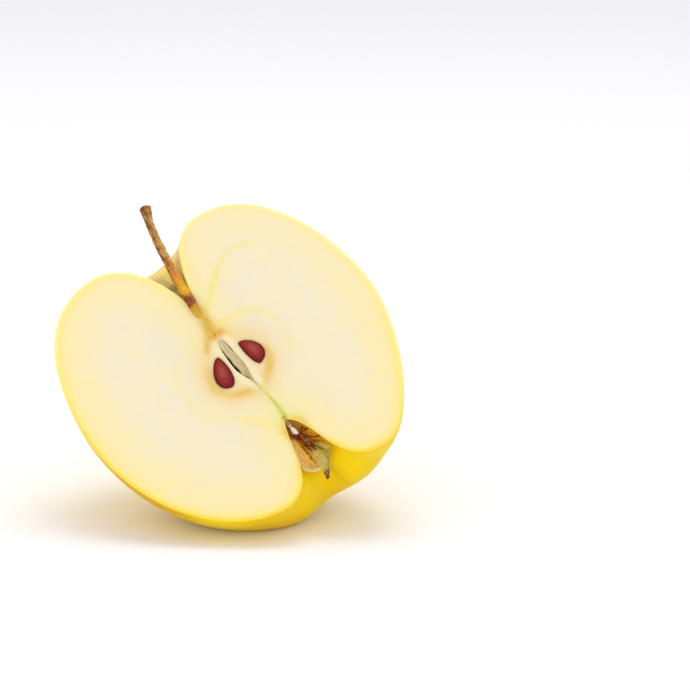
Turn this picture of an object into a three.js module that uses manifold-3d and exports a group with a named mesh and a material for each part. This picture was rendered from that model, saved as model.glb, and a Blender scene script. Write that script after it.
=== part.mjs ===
// Half of an apple, cut lengthwise through its core, leaning back on its rounded side.
// Millimetres, +Z up. The origin is on the flat spot that the half rests on, straight
// below the middle of its core.
//
// The pieces are shaped in the fruit's own frame and then leant back together:
//   x runs across the cut face, y runs into the flesh from the cut face at y = 0,
//   z runs along the core towards the stem.

import * as THREE from 'three';
import { mergeVertices } from 'three/addons/utils/BufferGeometryUtils.js';
import Module from 'manifold-3d';

const wasm = await Module();
wasm.setup();

// ---- How the half lies ----------------------------------------------------------------

const ROLL_DEG = 38.7; // the stem end swings to the left of upright
const LEAN_DEG = 36; // the cut face leans back
const TURN_DEG = -3; // the cut face looks a little to the left
const REST_HEIGHT = 38.2; // middle of the core above the surface below
const AIR = 0.3; // clearance between pieces that touch

// ---- The outside of the fruit ---------------------------------------------------------

// A meridian is four curves: down in the stem cavity, over the shoulder to the waist,
// under to the foot, and up into the calyx cavity. Sizes are [radius, height].
const CAVITY_FLOOR = 16.8;
const CALYX_ROOF = -16.9;
const CAVITY_BEND = 0.45; // where the cavity turns outwards, as a share of its depth
const CALYX_BEND = 0.2;
const RIGHT_SIDE = {
  shoulder: [15.2, 40.0],
  waist: [39.0, 2.0],
  foot: [16.7, -36.7],
  fullness: [0.62, 0.51, 0.42, 0.35],
  stemCavity: [2.6, 10.0],
  calyxCavity: [15.1, 6.4],
};
const LEFT_SIDE = {
  shoulder: [16.4, 42.0],
  waist: [40.8, 4.6],
  foot: [12.6, -35.2],
  fullness: [0.74, 0.39, 0.57, 0.44],
  stemCavity: [0.1, 10.8],
  calyxCavity: [9.8, 3.3],
};
const BACK_SIDE = {
  shoulder: [15.5, 39.3],
  waist: [39.5, 1.4],
  foot: [17.1, -35.2],
  fullness: [0.6, 0.5, 0.57, 0.46],
  stemCavity: [1.4, 9.7],
  calyxCavity: [12.6, 5.4],
};

const LOBES = 5; // soft ribs round the calyx end
const LOBE_HEIGHT = 0.9;
const LOBE_START = 10; // height where the ribs begin to show
const LOBE_FADE = 45; // distance over which they grow
const LOBE_INNER_RADIUS = 12; // they fade out towards the core

// Low swellings that make the fruit uneven: azimuth and latitude seen from the core.
const MEAN_RADIUS = 40;
const SWELLINGS = [
  { azimuth: 110, latitude: -16, height: 2.8, spread: 40 },
  { azimuth: 30, latitude: -45, height: 0.5, spread: 26 },
];

const STEPS_AROUND = 88;
const STEPS_ALONG = 52;
const BLOCK = 200; // a cutting block, larger than the fruit

// ---- The core -------------------------------------------------------------------------

// A seed is a drop that bulges to its outer side. Points are [x, z] on the cut face,
// taper 0 gives an oval and 0.5 a drop, and skew is the share of the width that moves
// to the outer side, which is -1 for the left seed and 1 for the right one.
const SEEDS = {
  seed_left: {
    tip: [-3.34, 5.94], tail: [-5.25, -2.38], halfWidth: 2.13, taper: 0.32, skew: 0.28, outward: -1,
  },
  seed_right: {
    tip: [3.13, 6.01], tail: [4.18, -1.56], halfWidth: 2.07, taper: 0.2, skew: 0.6, outward: 1,
  },
};
const SEED_HALF_DEPTH = 1.2;
const SEED_CENTRE_DEPTH = 0.4;
const SEED_SIDES = 18;
const SEED_STEPS = 12;

// The open chamber in the middle of the core, with the papery wall that shows in it.
// Both are blades, blunt above and drawn out below. bow moves the middle sideways.
const CHAMBER = { top: [-0.1, 9.5], bottom: [0.2, -5.6], bow: -0.45, halfWidth: 1.36, halfDepth: 2.3 };
const WALL = { top: [-0.2, 8.7], bottom: [0.2, -4.0], bow: -0.37, halfWidth: 0.82, halfDepth: 0.6 };
const WALL_CENTRE_DEPTH = 0.8;
const BLADE_POINT = 1.25; // power of the width's sine at the lower end: more is more pointed
const BLADE_BLUNT = 0.3; // and at the upper end
const BLADE_CHANGE = [0.3, 0.75]; // where one gives way to the other, as shares from below
const BLADE_DEPTH_POINT = 1.4; // power that draws the depth out to both ends
const BLADE_SIDES = 12;
const BLADE_STEPS = 14;

// ---- The stem -------------------------------------------------------------------------

// Points along the middle of the stem, from its base to its tip.
const STEM_ROUTE = [
  [-0.25, 0.3, 16.7],
  [0.6, 0.2, 22.5],
  [1.45, 0.3, 29],
  [3.05, 0.5, 38],
  [4.75, 0.7, 45],
  [6.65, 0.8, 49.8],
];
const STEM_THIN_RADIUS = 1.0;
const STEM_BASE_EXTRA = 0.34; // added to the radius at the base
const STEM_BASE_FADE = 1.5; // how fast that fades upwards
const STEM_TIP_EXTRA = 0.26; // added where the tip flares
const STEM_TIP_START = 0.86; // where the flare begins, as a share of the length
const STEM_TIP_DOME = 0.35;
const STEM_SIDES = 14;
const STEM_STEPS = 30;

// ---- The calyx ------------------------------------------------------------------------

const STYLE_ROUTE = [
  [0.0, 0.75, -18.6],
  [-0.15, 0.9, -20.0],
  [0.1, 0.85, -21.9],
];
const STYLE_RADIUS = 0.42;
const STYLE_SIDES = 8;
const STYLE_STEPS = 6;

const RING_RADIUS = 1.45; // the ring that carries the stamens
const RING_HEIGHT = -21.6;
const RING_THICKNESS = 0.28;
const RING_DEPTH = 0.35;
const RING_STEPS = 8;
const RING_ARC_STEPS = 3; // in each half of its round section
const STAMEN_COUNT = 9;
const STAMEN_RADIUS = 0.19;
const STAMEN_SIDES = 5;
const STAMEN_STEPS = 4;
const STAMEN_MARGIN = 0.06; // share of the ring left free at each end
const STAMEN_BUNDLE_END = [0.9, 1.7, -27.2];
const STAMEN_SPREAD = [0.8, 0.65, 1.3]; // of the thread ends, across, inwards and along
const STAMEN_BEND = 0.4; // where a thread bends, as a share of its length
const STAMEN_GATHER = 0.5; // how far the bend draws the thread into the bundle
const GOLDEN_ANGLE = 2.4; // radians; turned by this, any number of ends is spread evenly

// A sepal runs down the wall of the calyx cavity and closes over its mouth. route
// gives [radius, height] from its base to its tip. Its two edges are azimuths in
// degrees at its base, its middle and its tip.
const SEPALS = {
  sepal_left: {
    color: 0xd6b878,
    rightEdge: [126, 106, 106],
    leftEdge: [150, 162, 120],
    route: [[2.1, -23.2], [3.0, -25.8], [3.6, -28.8], [3.2, -30.8], [2.5, -31.8]],
  },
  sepal_middle: {
    color: 0x9a9a3a,
    rightEdge: [62, 56, 90],
    leftEdge: [92, 92, 104],
    route: [[3.2, -25.8], [4.0, -28.2], [4.1, -30.2], [3.6, -32.2], [3.2, -34.4]],
  },
  sepal_right: {
    color: 0xa89a3c,
    rightEdge: [30, 17, 18],
    leftEdge: [50, 44, 30],
    route: [[3.0, -25.2], [3.6, -26.8], [4.1, -28.4], [4.1, -29.6]],
  },
};
const SEPAL_THICKNESS = 0.5;
const SEPAL_WAVE = 0.16;
const SEPAL_WAVE_ALONG = 5; // radians of wave from base to tip
const SEPAL_WAVE_ACROSS = 2.5; // and from the middle to an edge
const SEPAL_STEPS_ACROSS = 6;
const SEPAL_STEPS_ALONG = 9;

// ---- Colours and roughness ------------------------------------------------------------

const CREAM = 0xf6e9c4;
const BARK_BROWN = 0x9a6a2c;
const SEED_RED = 0x8c2b33;
const PARCHMENT = 0xd3c08c;
const DOWNY_PINK = 0xd9b89a;
const STAMEN_BROWN = 0x5a2414;
const GLOSSY = 0.3;
const MOIST = 0.45;
const DRY = 0.8;

// ---- Small helpers --------------------------------------------------------------------

const radians = THREE.MathUtils.degToRad;
const smoothstep = THREE.MathUtils.smoothstep;
const lerp = THREE.MathUtils.lerp;

/** A piece of geometry with its shared vertices merged, as the solids library needs it. */
function welded(geometry) {
  const bare = geometry.clone();
  bare.deleteAttribute('normal');
  bare.deleteAttribute('uv');
  return mergeVertices(bare, 1e-4);
}

function solidFrom(geometry) {
  const mesh = welded(geometry);
  return new wasm.Manifold(new wasm.Mesh({
    numProp: 3,
    vertProperties: new Float32Array(mesh.attributes.position.array),
    triVerts: new Uint32Array(mesh.index.array),
  }));
}

function geometryFrom(solid) {
  const mesh = solid.getMesh();
  const geometry = new THREE.BufferGeometry();
  geometry.setAttribute('position', new THREE.BufferAttribute(mesh.vertProperties, 3));
  geometry.setIndex(new THREE.BufferAttribute(mesh.triVerts, 1));
  geometry.computeVertexNormals();
  return geometry;
}

/** Moves every vertex of a geometry to the place that a function of the vertex gives. */
function reshape(geometry, placeOf) {
  const position = geometry.attributes.position;
  const uv = geometry.attributes.uv;
  const vertex = new THREE.Vector3();
  for (let i = 0; i < position.count; i += 1) {
    vertex.fromBufferAttribute(position, i);
    const place = placeOf(vertex, uv.getX(i), uv.getY(i));
    position.setXYZ(i, place.x, place.y, place.z);
  }
  return geometry;
}

// ---- The fruit ------------------------------------------------------------------------

/** The four curves of one meridian, from the stem cavity to the calyx cavity. */
function meridianCurves({ shoulder, waist, foot, fullness, stemCavity, calyxCavity }) {
  const [overShoulder, aboveWaist, belowWaist, aroundFoot] = fullness;
  const at = (radius, height) => new THREE.Vector2(radius, height);
  return [
    new THREE.CubicBezierCurve(
      at(0, CAVITY_FLOOR),
      at(stemCavity[0], lerp(CAVITY_FLOOR, shoulder[1], CAVITY_BEND)),
      at(shoulder[0] - stemCavity[1], shoulder[1]),
      at(...shoulder),
    ),
    new THREE.CubicBezierCurve(
      at(...shoulder),
      at(lerp(shoulder[0], waist[0], overShoulder), shoulder[1]),
      at(waist[0], lerp(waist[1], shoulder[1], aboveWaist)),
      at(...waist),
    ),
    new THREE.CubicBezierCurve(
      at(...waist),
      at(waist[0], lerp(waist[1], foot[1], belowWaist)),
      at(lerp(foot[0], waist[0], aroundFoot), foot[1]),
      at(...foot),
    ),
    new THREE.CubicBezierCurve(
      at(...foot),
      at(foot[0] - calyxCavity[0], foot[1]),
      at(calyxCavity[1], lerp(CALYX_ROOF, foot[1], CALYX_BEND)),
      at(0, CALYX_ROOF),
    ),
  ];
}

const rightCurves = meridianCurves(RIGHT_SIDE);
const leftCurves = meridianCurves(LEFT_SIDE);
const backCurves = meridianCurves(BACK_SIDE);

/** Radius and height at a share 0..1 of the way along one meridian. */
function meridianPoint(curves, share) {
  const scaled = Math.min(share, 1) * curves.length;
  const index = Math.min(Math.floor(scaled), curves.length - 1);
  return curves[index].getPoint(scaled - index);
}

function swell(point) {
  const direction = point.clone().normalize();
  let growth = 0;
  for (const { azimuth, latitude, height, spread } of SWELLINGS) {
    const level = Math.cos(radians(latitude));
    const centre = new THREE.Vector3(
      level * Math.cos(radians(azimuth)),
      level * Math.sin(radians(azimuth)),
      Math.sin(radians(latitude)),
    );
    const away = direction.angleTo(centre) / radians(spread);
    growth += (height / MEAN_RADIUS) * Math.max(0, 1 - away * away) ** 2;
  }
  return point.multiplyScalar(1 + growth);
}

/** A point of the skin: azimuth 0 is the right side of the cut face, 180 the left. */
function skinPoint(azimuth, share) {
  const across = Math.cos(azimuth);
  const inward = Math.sin(azimuth);
  const side = meridianPoint(across > 0 ? rightCurves : leftCurves, share);
  const back = meridianPoint(backCurves, share);
  const backShare = inward * inward;
  const radius = lerp(side.x, back.x, backShare);
  const height = lerp(side.y, back.y, backShare);
  const lobeShare = smoothstep((LOBE_START - height) / LOBE_FADE, 0, 1)
    * Math.min(radius / LOBE_INNER_RADIUS, 1) * backShare;
  const lobe = LOBE_HEIGHT * Math.cos(LOBES * (azimuth - Math.PI / 2)) * lobeShare;
  return swell(new THREE.Vector3(radius * across, radius * inward, height + lobe));
}

function wholeFruit() {
  return reshape(
    new THREE.SphereGeometry(1, STEPS_AROUND, STEPS_ALONG),
    (vertex, u, v) => skinPoint(2 * Math.PI * u, 1 - v),
  );
}

// ---- Drops and blades of the core -----------------------------------------------------

/** A seed, or with growth the pocket round it. */
function seedGeometry({ tip, tail, halfWidth, taper, skew, outward }, growth = 0) {
  const top = new THREE.Vector3(tip[0], SEED_CENTRE_DEPTH, tip[1]);
  const end = new THREE.Vector3(tail[0], SEED_CENTRE_DEPTH, tail[1]);
  const middle = top.clone().add(end).multiplyScalar(0.5);
  const along = top.clone().sub(end).normalize();
  const sideways = new THREE.Vector3(along.z, 0, -along.x);
  const depth = new THREE.Vector3(0, 1, 0);
  const halfLength = top.distanceTo(end) / 2 + growth;
  return reshape(new THREE.SphereGeometry(1, SEED_SIDES, SEED_STEPS), (vertex) => {
    const ring = Math.hypot(vertex.x, vertex.z);
    const profile = 1 - taper * vertex.y;
    const width = halfWidth * profile * (vertex.x + outward * skew * ring) + growth * vertex.x;
    return middle.clone()
      .addScaledVector(along, halfLength * vertex.y)
      .addScaledVector(sideways, width)
      .addScaledVector(depth, -(SEED_HALF_DEPTH * profile + growth) * vertex.z);
  });
}

/** A blade along the core: the open chamber, or the wall in it. */
function bladeGeometry({ top, bottom, bow, halfWidth, halfDepth }, centreDepth = 0) {
  return reshape(new THREE.SphereGeometry(1, BLADE_SIDES, BLADE_STEPS), (vertex) => {
    const share = (vertex.y + 1) / 2;
    const ring = Math.hypot(vertex.x, vertex.z);
    const side = ring > 0 ? vertex.x / ring : 0;
    const arch = Math.sin(Math.PI * share);
    const power = lerp(BLADE_POINT, BLADE_BLUNT, smoothstep(share, ...BLADE_CHANGE));
    return new THREE.Vector3(
      lerp(bottom[0], top[0], share) + bow * arch + halfWidth * side * arch ** power,
      (centreDepth * ring - halfDepth * vertex.z) * ring ** (BLADE_DEPTH_POINT - 1),
      lerp(bottom[1], top[1], share),
    );
  });
}

// ---- Rods -----------------------------------------------------------------------------

/** A round rod along a route, with a radius that a function of the share along it gives. */
function rodGeometry(route, radiusAt, sides, steps, dome = 0) {
  const curve = new THREE.CatmullRomCurve3(route.map((place) => new THREE.Vector3(...place)));
  const depth = new THREE.Vector3(0, 1, 0);
  return reshape(new THREE.CylinderGeometry(1, 1, 1, sides, steps), (vertex) => {
    const share = vertex.y + 0.5;
    const ring = Math.hypot(vertex.x, vertex.z);
    const tangent = curve.getTangent(share);
    const sideways = depth.clone().cross(tangent).normalize();
    const inward = tangent.clone().cross(sideways);
    const radius = radiusAt(share);
    const lift = share > 0.5 ? dome * (1 - ring) : 0;
    return curve.getPoint(share)
      .addScaledVector(tangent, lift)
      .addScaledVector(sideways, -radius * vertex.x)
      .addScaledVector(inward, radius * vertex.z);
  });
}

function stemRadius(share) {
  const base = STEM_BASE_EXTRA * (1 - share) ** STEM_BASE_FADE;
  const tip = STEM_TIP_EXTRA * smoothstep(share, STEM_TIP_START, 1);
  return STEM_THIN_RADIUS + base + tip;
}

/** The stem, or with growth the socket that holds it in the flesh. */
function stemGeometry(growth = 0) {
  const [baseX, baseY, baseZ] = STEM_ROUTE[0];
  const route = [[baseX, baseY, baseZ - growth], ...STEM_ROUTE.slice(1)];
  const radiusAt = (share) => stemRadius(share) + growth;
  return rodGeometry(route, radiusAt, STEM_SIDES, STEM_STEPS, STEM_TIP_DOME);
}

// ---- Calyx pieces ---------------------------------------------------------------------

/** The tuft of dry stamens: a half ring on the wall, and threads that meet in a bundle. */
function stamenTuft() {
  const ringPlace = (angle) => [
    RING_RADIUS * Math.cos(angle),
    RING_DEPTH + RING_RADIUS * Math.sin(angle),
    RING_HEIGHT,
  ];
  const ringRoute = [0, 0.25, 0.5, 0.75, 1].map((share) => ringPlace(Math.PI * share));
  const ringCurve = new THREE.CatmullRomCurve3(ringRoute.map((place) => new THREE.Vector3(...place)));
  const section = new THREE.Shape().absarc(0, 0, RING_THICKNESS, 0, 2 * Math.PI);
  const ring = new THREE.ExtrudeGeometry(section, {
    steps: RING_STEPS,
    curveSegments: RING_ARC_STEPS,
    bevelEnabled: false,
    extrudePath: ringCurve,
  });
  let tuft = solidFrom(ring);
  for (let i = 0; i < STAMEN_COUNT; i += 1) {
    const share = i / (STAMEN_COUNT - 1);
    const start = ringPlace(Math.PI * lerp(STAMEN_MARGIN, 1 - STAMEN_MARGIN, share));
    const turn = i * GOLDEN_ANGLE;
    const reach = Math.sqrt(share);
    const offsets = [Math.cos(turn), Math.sin(turn), Math.cos(turn + 1)];
    const end = STAMEN_BUNDLE_END.map(
      (value, axis) => value + STAMEN_SPREAD[axis] * reach * offsets[axis],
    );
    const bend = start.map((value, axis) => lerp(value, end[axis], STAMEN_BEND));
    bend[0] = lerp(bend[0], STAMEN_BUNDLE_END[0], STAMEN_GATHER);
    const thread = rodGeometry([start, bend, end], () => STAMEN_RADIUS, STAMEN_SIDES, STAMEN_STEPS);
    tuft = tuft.add(solidFrom(thread));
  }
  return geometryFrom(tuft);
}

/** A value that runs smoothly from base over middle to tip. */
function through([base, middle, tip], share) {
  const bend = 2 * (base + tip - 2 * middle);
  return base + (tip - base - bend) * share + bend * share ** 2;
}

/** One sepal: a thin tongue wrapped round the core's axis, with a waved surface. */
function sepalGeometry({ rightEdge, leftEdge, route }) {
  const curve = new THREE.CatmullRomCurve3(
    route.map(([radius, height]) => new THREE.Vector3(radius, 0, height)),
  );
  const blank = new THREE.BoxGeometry(2, 2, 1, SEPAL_STEPS_ACROSS, 1, SEPAL_STEPS_ALONG);
  return reshape(blank, (vertex) => {
    const share = vertex.z + 0.5;
    const tangent = curve.getTangent(share);
    const outward = new THREE.Vector3(-tangent.z, 0, tangent.x);
    const phase = SEPAL_WAVE_ALONG * share + SEPAL_WAVE_ACROSS * vertex.x;
    const wave = SEPAL_WAVE * Math.sin(phase) * share;
    const place = curve.getPoint(share)
      .addScaledVector(outward, wave + vertex.y * SEPAL_THICKNESS / 2);
    const across = (vertex.x + 1) / 2;
    const angle = radians(lerp(through(rightEdge, share), through(leftEdge, share), across));
    return new THREE.Vector3(place.x * Math.cos(angle), place.x * Math.sin(angle), place.z);
  });
}

// ---- Putting the half together --------------------------------------------------------

const half = new THREE.Group();
half.rotation.set(-radians(LEAN_DEG), -radians(ROLL_DEG), radians(TURN_DEG), 'ZXY');
half.position.z = REST_HEIGHT;
half.updateMatrixWorld(true);

function fleshGeometry() {
  const front = new THREE.BoxGeometry(BLOCK, BLOCK, BLOCK).translate(0, -BLOCK / 2, 0);
  const ground = new THREE.BoxGeometry(BLOCK, BLOCK, BLOCK).translate(0, 0, -BLOCK / 2);
  ground.applyMatrix4(half.matrixWorld.clone().invert());
  let flesh = solidFrom(wholeFruit())
    .subtract(solidFrom(front))
    .subtract(solidFrom(ground))
    .subtract(solidFrom(stemGeometry(AIR)))
    .subtract(solidFrom(bladeGeometry(CHAMBER)));
  for (const seed of Object.values(SEEDS)) {
    flesh = flesh.subtract(solidFrom(seedGeometry(seed, AIR)));
  }
  return geometryFrom(flesh);
}

function addPiece(name, geometry, color, roughness) {
  const material = new THREE.MeshStandardMaterial({ color, roughness, metalness: 0 });
  const mesh = new THREE.Mesh(geometry, material);
  mesh.name = name;
  half.add(mesh);
}

addPiece('flesh', fleshGeometry(), CREAM, MOIST);
addPiece('stem', stemGeometry(), BARK_BROWN, DRY);
for (const [name, seed] of Object.entries(SEEDS)) {
  addPiece(name, seedGeometry(seed), SEED_RED, GLOSSY);
}
addPiece('core_wall', bladeGeometry(WALL, WALL_CENTRE_DEPTH), PARCHMENT, DRY);
const style = rodGeometry(STYLE_ROUTE, () => STYLE_RADIUS, STYLE_SIDES, STYLE_STEPS);
addPiece('style', style, DOWNY_PINK, DRY);
addPiece('stamens', stamenTuft(), STAMEN_BROWN, DRY);
for (const [name, sepal] of Object.entries(SEPALS)) {
  addPiece(name, sepalGeometry(sepal), sepal.color, DRY);
}

const apple = new THREE.Group();
apple.add(half);

export default apple;
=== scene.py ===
# %% [markdown]
# # A yellow fruit, cut in half
#
# This lesson dresses half of an orchard fruit: cream flesh under a thin waxy skin, a core
# with two seeds, a dry stem, and the withered remains of the flower at the other end.
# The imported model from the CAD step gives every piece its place. Here each piece is made
# again with finer form where that pays, and gets a material of its own.

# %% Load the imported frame
import math

import bpy
import numpy as np
from mathutils import Matrix, Vector, geometry, noise


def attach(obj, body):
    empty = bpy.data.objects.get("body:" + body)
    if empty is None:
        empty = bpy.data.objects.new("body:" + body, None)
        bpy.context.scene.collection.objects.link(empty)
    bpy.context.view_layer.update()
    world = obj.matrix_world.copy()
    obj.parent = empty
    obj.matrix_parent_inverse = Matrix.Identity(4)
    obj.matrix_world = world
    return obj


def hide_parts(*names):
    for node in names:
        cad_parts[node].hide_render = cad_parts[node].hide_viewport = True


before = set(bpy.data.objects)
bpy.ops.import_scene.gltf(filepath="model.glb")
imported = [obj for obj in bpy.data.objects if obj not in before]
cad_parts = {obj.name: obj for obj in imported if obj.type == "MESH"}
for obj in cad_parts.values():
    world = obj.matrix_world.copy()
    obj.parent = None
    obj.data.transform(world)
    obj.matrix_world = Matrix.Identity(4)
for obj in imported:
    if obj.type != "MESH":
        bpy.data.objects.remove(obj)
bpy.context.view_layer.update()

# %% [markdown]
# ## Where the half lies
#
# A fruit is easiest to describe upright: x across the cut face, y into the flesh, z along
# the core towards the stem. All shapes below are worked out in that frame, in
# millimetres, and one matrix then leans them back to where the half rests, in metres.
# Keeping the pose in one matrix means that no formula has to know about it.

# %% The fruit's own frame
MM = 0.001
ROLL = math.radians(38.7)  # the stem end swings to the left
LEAN = math.radians(36)  # the cut face leans back
TURN = math.radians(-3)  # and looks a little to the left
REST_HEIGHT = 38.2  # middle of the core above the floor

fruit_turn = (
    Matrix.Rotation(TURN, 4, "Z")
    @ Matrix.Rotation(-LEAN, 4, "X")
    @ Matrix.Rotation(-ROLL, 4, "Y")
)
fruit_to_world = Matrix.Translation((0, 0, REST_HEIGHT * MM)) @ fruit_turn @ Matrix.Scale(MM, 4)


def to_world(points):
    """Places points of the fruit's frame, in millimetres, in the world, in metres."""
    matrix = np.array(fruit_to_world)
    return np.asarray(points, float) @ matrix[:3, :3].T + matrix[:3, 3]


print("middle of the core, in metres:", to_world([[0, 0, 0]])[0].round(4))

# %% [markdown]
# ## Number helpers
#
# Arrays of numbers are quicker than one vertex at a time. `bezier` gives a smooth curve
# from four points, `route` runs a smooth line through any number of them, and `bumps`
# gives soft random unevenness. `smooth` is a soft step and `mix` a blend.

# %% Curves, steps and unevenness
def bezier(points, share):
    """Points of a cubic curve at an array of shares from 0 to 1."""
    a, b, c, d = (np.asarray(point, float) for point in points)
    t = np.asarray(share, float)[..., None]
    return (1 - t) ** 3 * a + 3 * (1 - t) ** 2 * t * b + 3 * (1 - t) * t**2 * c + t**3 * d


def route(points, count):
    """Evenly spaced points of a smooth line through given ones, by Catmull and Rom's rule."""
    knots = np.asarray(points, float)
    knots = np.vstack([2 * knots[0] - knots[1], knots, 2 * knots[-1] - knots[-2]])
    places = np.linspace(0, len(points) - 1, 20 * len(points))
    start = np.minimum(places.astype(int), len(points) - 2)
    t = (places - start)[:, None]
    p0, p1, p2, p3 = (knots[start + i] for i in range(4))
    line = 0.5 * (
        2 * p1 + (p2 - p0) * t + (2 * p0 - 5 * p1 + 4 * p2 - p3) * t**2
        + (3 * p1 - p0 - 3 * p2 + p3) * t**3
    )
    length = np.cumsum(np.linalg.norm(np.diff(line, axis=0, prepend=line[:1]), axis=1))
    wanted = np.linspace(0, length[-1], count)
    return np.stack([np.interp(wanted, length, values) for values in line.T], -1)


def smooth(value, low, high):
    """0 below low, 1 above high, and a soft step between."""
    t = np.clip((np.asarray(value, float) - low) / (high - low), 0, 1)
    return t * t * (3 - 2 * t)


def circle(count):
    """Angles of so many even steps round a circle."""
    return np.linspace(0, 2 * math.pi, count, endpoint=False)


def mix(a, b, share):
    """The value a share of the way from a to b."""
    return a + (b - a) * share


def bumps(points, size, seed=0):
    """Soft random values from -1 to 1 that change over about size millimetres."""
    places = np.asarray(points, float).reshape(-1, 3) / size + 17.3 * seed
    values = [noise.noise(Vector(place)) for place in places]
    return np.array(values).reshape(np.shape(points)[:-1])


print("a soft step at its middle:", float(smooth(0.5, 0, 1)))

# %% [markdown]
# ## Mesh helpers
#
# A tube, a sheet or a seed is rows of points, and `grid_faces` lists the quads between
# them. `new_piece` turns points into an object. Modifiers are applied at once, because
# what counts is the plain mesh that they leave, and the numbers that a material reads are
# stored on the vertices.

# %% Meshes from arrays
def grid_faces(rows, columns, closed=False, offset=0):
    """Quads of a grid of points, kept row by row. closed joins the last column to the first."""
    faces = []
    for row in range(rows - 1):
        for column in range(columns if closed else columns - 1):
            after = (column + 1) % columns
            faces.append((
                offset + row * columns + column,
                offset + row * columns + after,
                offset + (row + 1) * columns + after,
                offset + (row + 1) * columns + column,
            ))
    return faces


def new_piece(name, points, faces):
    """An object whose mesh has these points of the fruit's frame. Its faces are smooth."""
    mesh = bpy.data.meshes.new(name)
    mesh.from_pydata([tuple(p) for p in to_world(points)], [], faces)
    piece = bpy.data.objects.new(name, mesh)
    bpy.context.scene.collection.objects.link(piece)
    piece.data.shade_smooth()
    return piece


def apply_modifiers(piece):
    """Replaces an object's mesh by the mesh that its modifiers make."""
    bpy.context.view_layer.update()
    evaluated = piece.evaluated_get(bpy.context.evaluated_depsgraph_get())
    piece.data = bpy.data.meshes.new_from_object(evaluated)
    piece.modifiers.clear()


def weld_points(piece, distance):
    """Joins points that lie closer than a distance in millimetres. Numbers on them stay."""
    modifier = piece.modifiers.new("weld", "WELD")
    modifier.merge_threshold = distance * MM
    apply_modifiers(piece)
    piece.data.shade_smooth()


def add_values(piece, name, values):
    """Stores one number for each vertex, which a material reads by its name."""
    attribute = piece.data.attributes.new(name, "FLOAT", "POINT")
    attribute.data.foreach_set("value", np.asarray(values, np.float32).ravel())


print("quads of 3 rows of 4 points:", len(grid_faces(3, 4)))

# %% [markdown]
# ## Colours and nodes
#
# A colour is written as the sRGB hex value that a paint program shows, and shaders work in
# linear light, so one function converts it. Another adds any node with its settings and
# its links, and every material below is built with it.

# %% Colours and nodes
def linear(hex_value):
    """An sRGB hex colour as the linear RGBA that shaders use."""
    channels = [int(hex_value[i : i + 2], 16) / 255 for i in (1, 3, 5)]
    return [c / 12.92 if c <= 0.04045 else ((c + 0.055) / 1.055) ** 2.4 for c in channels] + [1]


def fill_sockets(tree, node, inputs):
    """Gives each input of a node a value or a link. A node stands for its first output."""
    for key, value in inputs.items():
        if isinstance(value, bpy.types.Node):
            value = value.outputs[0]
        if isinstance(value, bpy.types.NodeSocket):
            tree.links.new(value, node.inputs[key])
        else:
            node.inputs[key].default_value = value


def add_node(tree, kind, inputs=None, stops=None, **settings):
    """Adds a node. inputs gives its sockets values or links, and stops fills a colour ramp."""
    node = tree.nodes.new(kind)
    for name, value in settings.items():
        setattr(node, name, value)
    fill_sockets(tree, node, inputs or {})
    if stops:
        ramp = node.color_ramp
        while len(ramp.elements) < len(stops):
            ramp.elements.new(1)
        for element, (place, colour) in zip(ramp.elements, stops):
            element.position = place
            element.color = linear(colour)
    return node


def new_material(name):
    """An empty surface: its node tree and its Principled shader."""
    material = bpy.data.materials.new(name)
    material.use_nodes = True
    tree = material.node_tree
    return material, tree, tree.nodes["Principled BSDF"]


print("middle grey in linear light:", [round(channel, 3) for channel in linear("#808080")])

# %% [markdown]
# ## Paints and patterns
#
# Most natural surfaces are built up from thin layers, so a material here is a base with
# paints over it, each with a mask that says where it goes. `spots` makes a mask of random
# patches of a real size, and a paint with several masks shows only where all agree.
# `grainy` makes the surface uneven, and `fruit_place` undoes the lean of the half, so that
# patterns follow the fruit.

# %% Paints, masks and patches
def product(tree, *values):
    """Multiplies masks, so that a paint shows only where all of them do."""
    result = values[0]
    for value in values[1:]:
        result = add_node(tree, "ShaderNodeMath", {0: result, 1: value}, operation="MULTIPLY")
    return result


def paint(tree, base, layers):
    """Lays colours over a base. Each layer is one or more masks from 0 to 1, and a colour."""
    for *masks, colour in layers:
        mixed = add_node(tree, "ShaderNodeMix", {
            0: product(tree, *masks), 6: base, 7: linear(colour),
        }, data_type="RGBA")
        base = mixed.outputs[2]
    return base


def fruit_place(tree):
    """The place on the piece in the fruit's own frame, in millimetres."""
    place = add_node(tree, "ShaderNodeTexCoord").outputs["Object"]
    mapping = add_node(tree, "ShaderNodeMapping", {
        "Vector": place,
        "Location": (0, 0, REST_HEIGHT * MM),
        "Rotation": fruit_turn.to_euler("XYZ"),
        "Scale": (MM, MM, MM),
    }, vector_type="TEXTURE")
    return mapping


def spots(tree, place, size, detail=2.0, low=0.4, high=0.6, stretch=(1, 1, 1)):
    """A soft mask of random patches about size millimetres wide."""
    stretched = add_node(tree, "ShaderNodeVectorMath", {0: place, 1: stretch}, operation="MULTIPLY")
    texture = add_node(tree, "ShaderNodeTexNoise", {
        "Vector": stretched, "Scale": 1 / size, "Detail": detail, "Roughness": 0.55,
    })
    ranged = add_node(tree, "ShaderNodeMapRange", {
        "Value": texture, "From Min": low, "From Max": high,
    }, interpolation_type="SMOOTHSTEP")
    return ranged


def grainy(tree, place, size, detail, strength, height):
    """Uneven shading, with grains of this size and height in millimetres."""
    grains = add_node(tree, "ShaderNodeTexNoise", {"Vector": place, "Scale": 1 / size, "Detail": detail})
    return add_node(tree, "ShaderNodeBump", {
        "Height": grains, "Strength": strength, "Distance": height * MM,
    })


turned = [round(math.degrees(angle), 1) for angle in fruit_turn.to_euler("XYZ")]
print("patterns are turned with the fruit, by", turned, "degrees")

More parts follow.
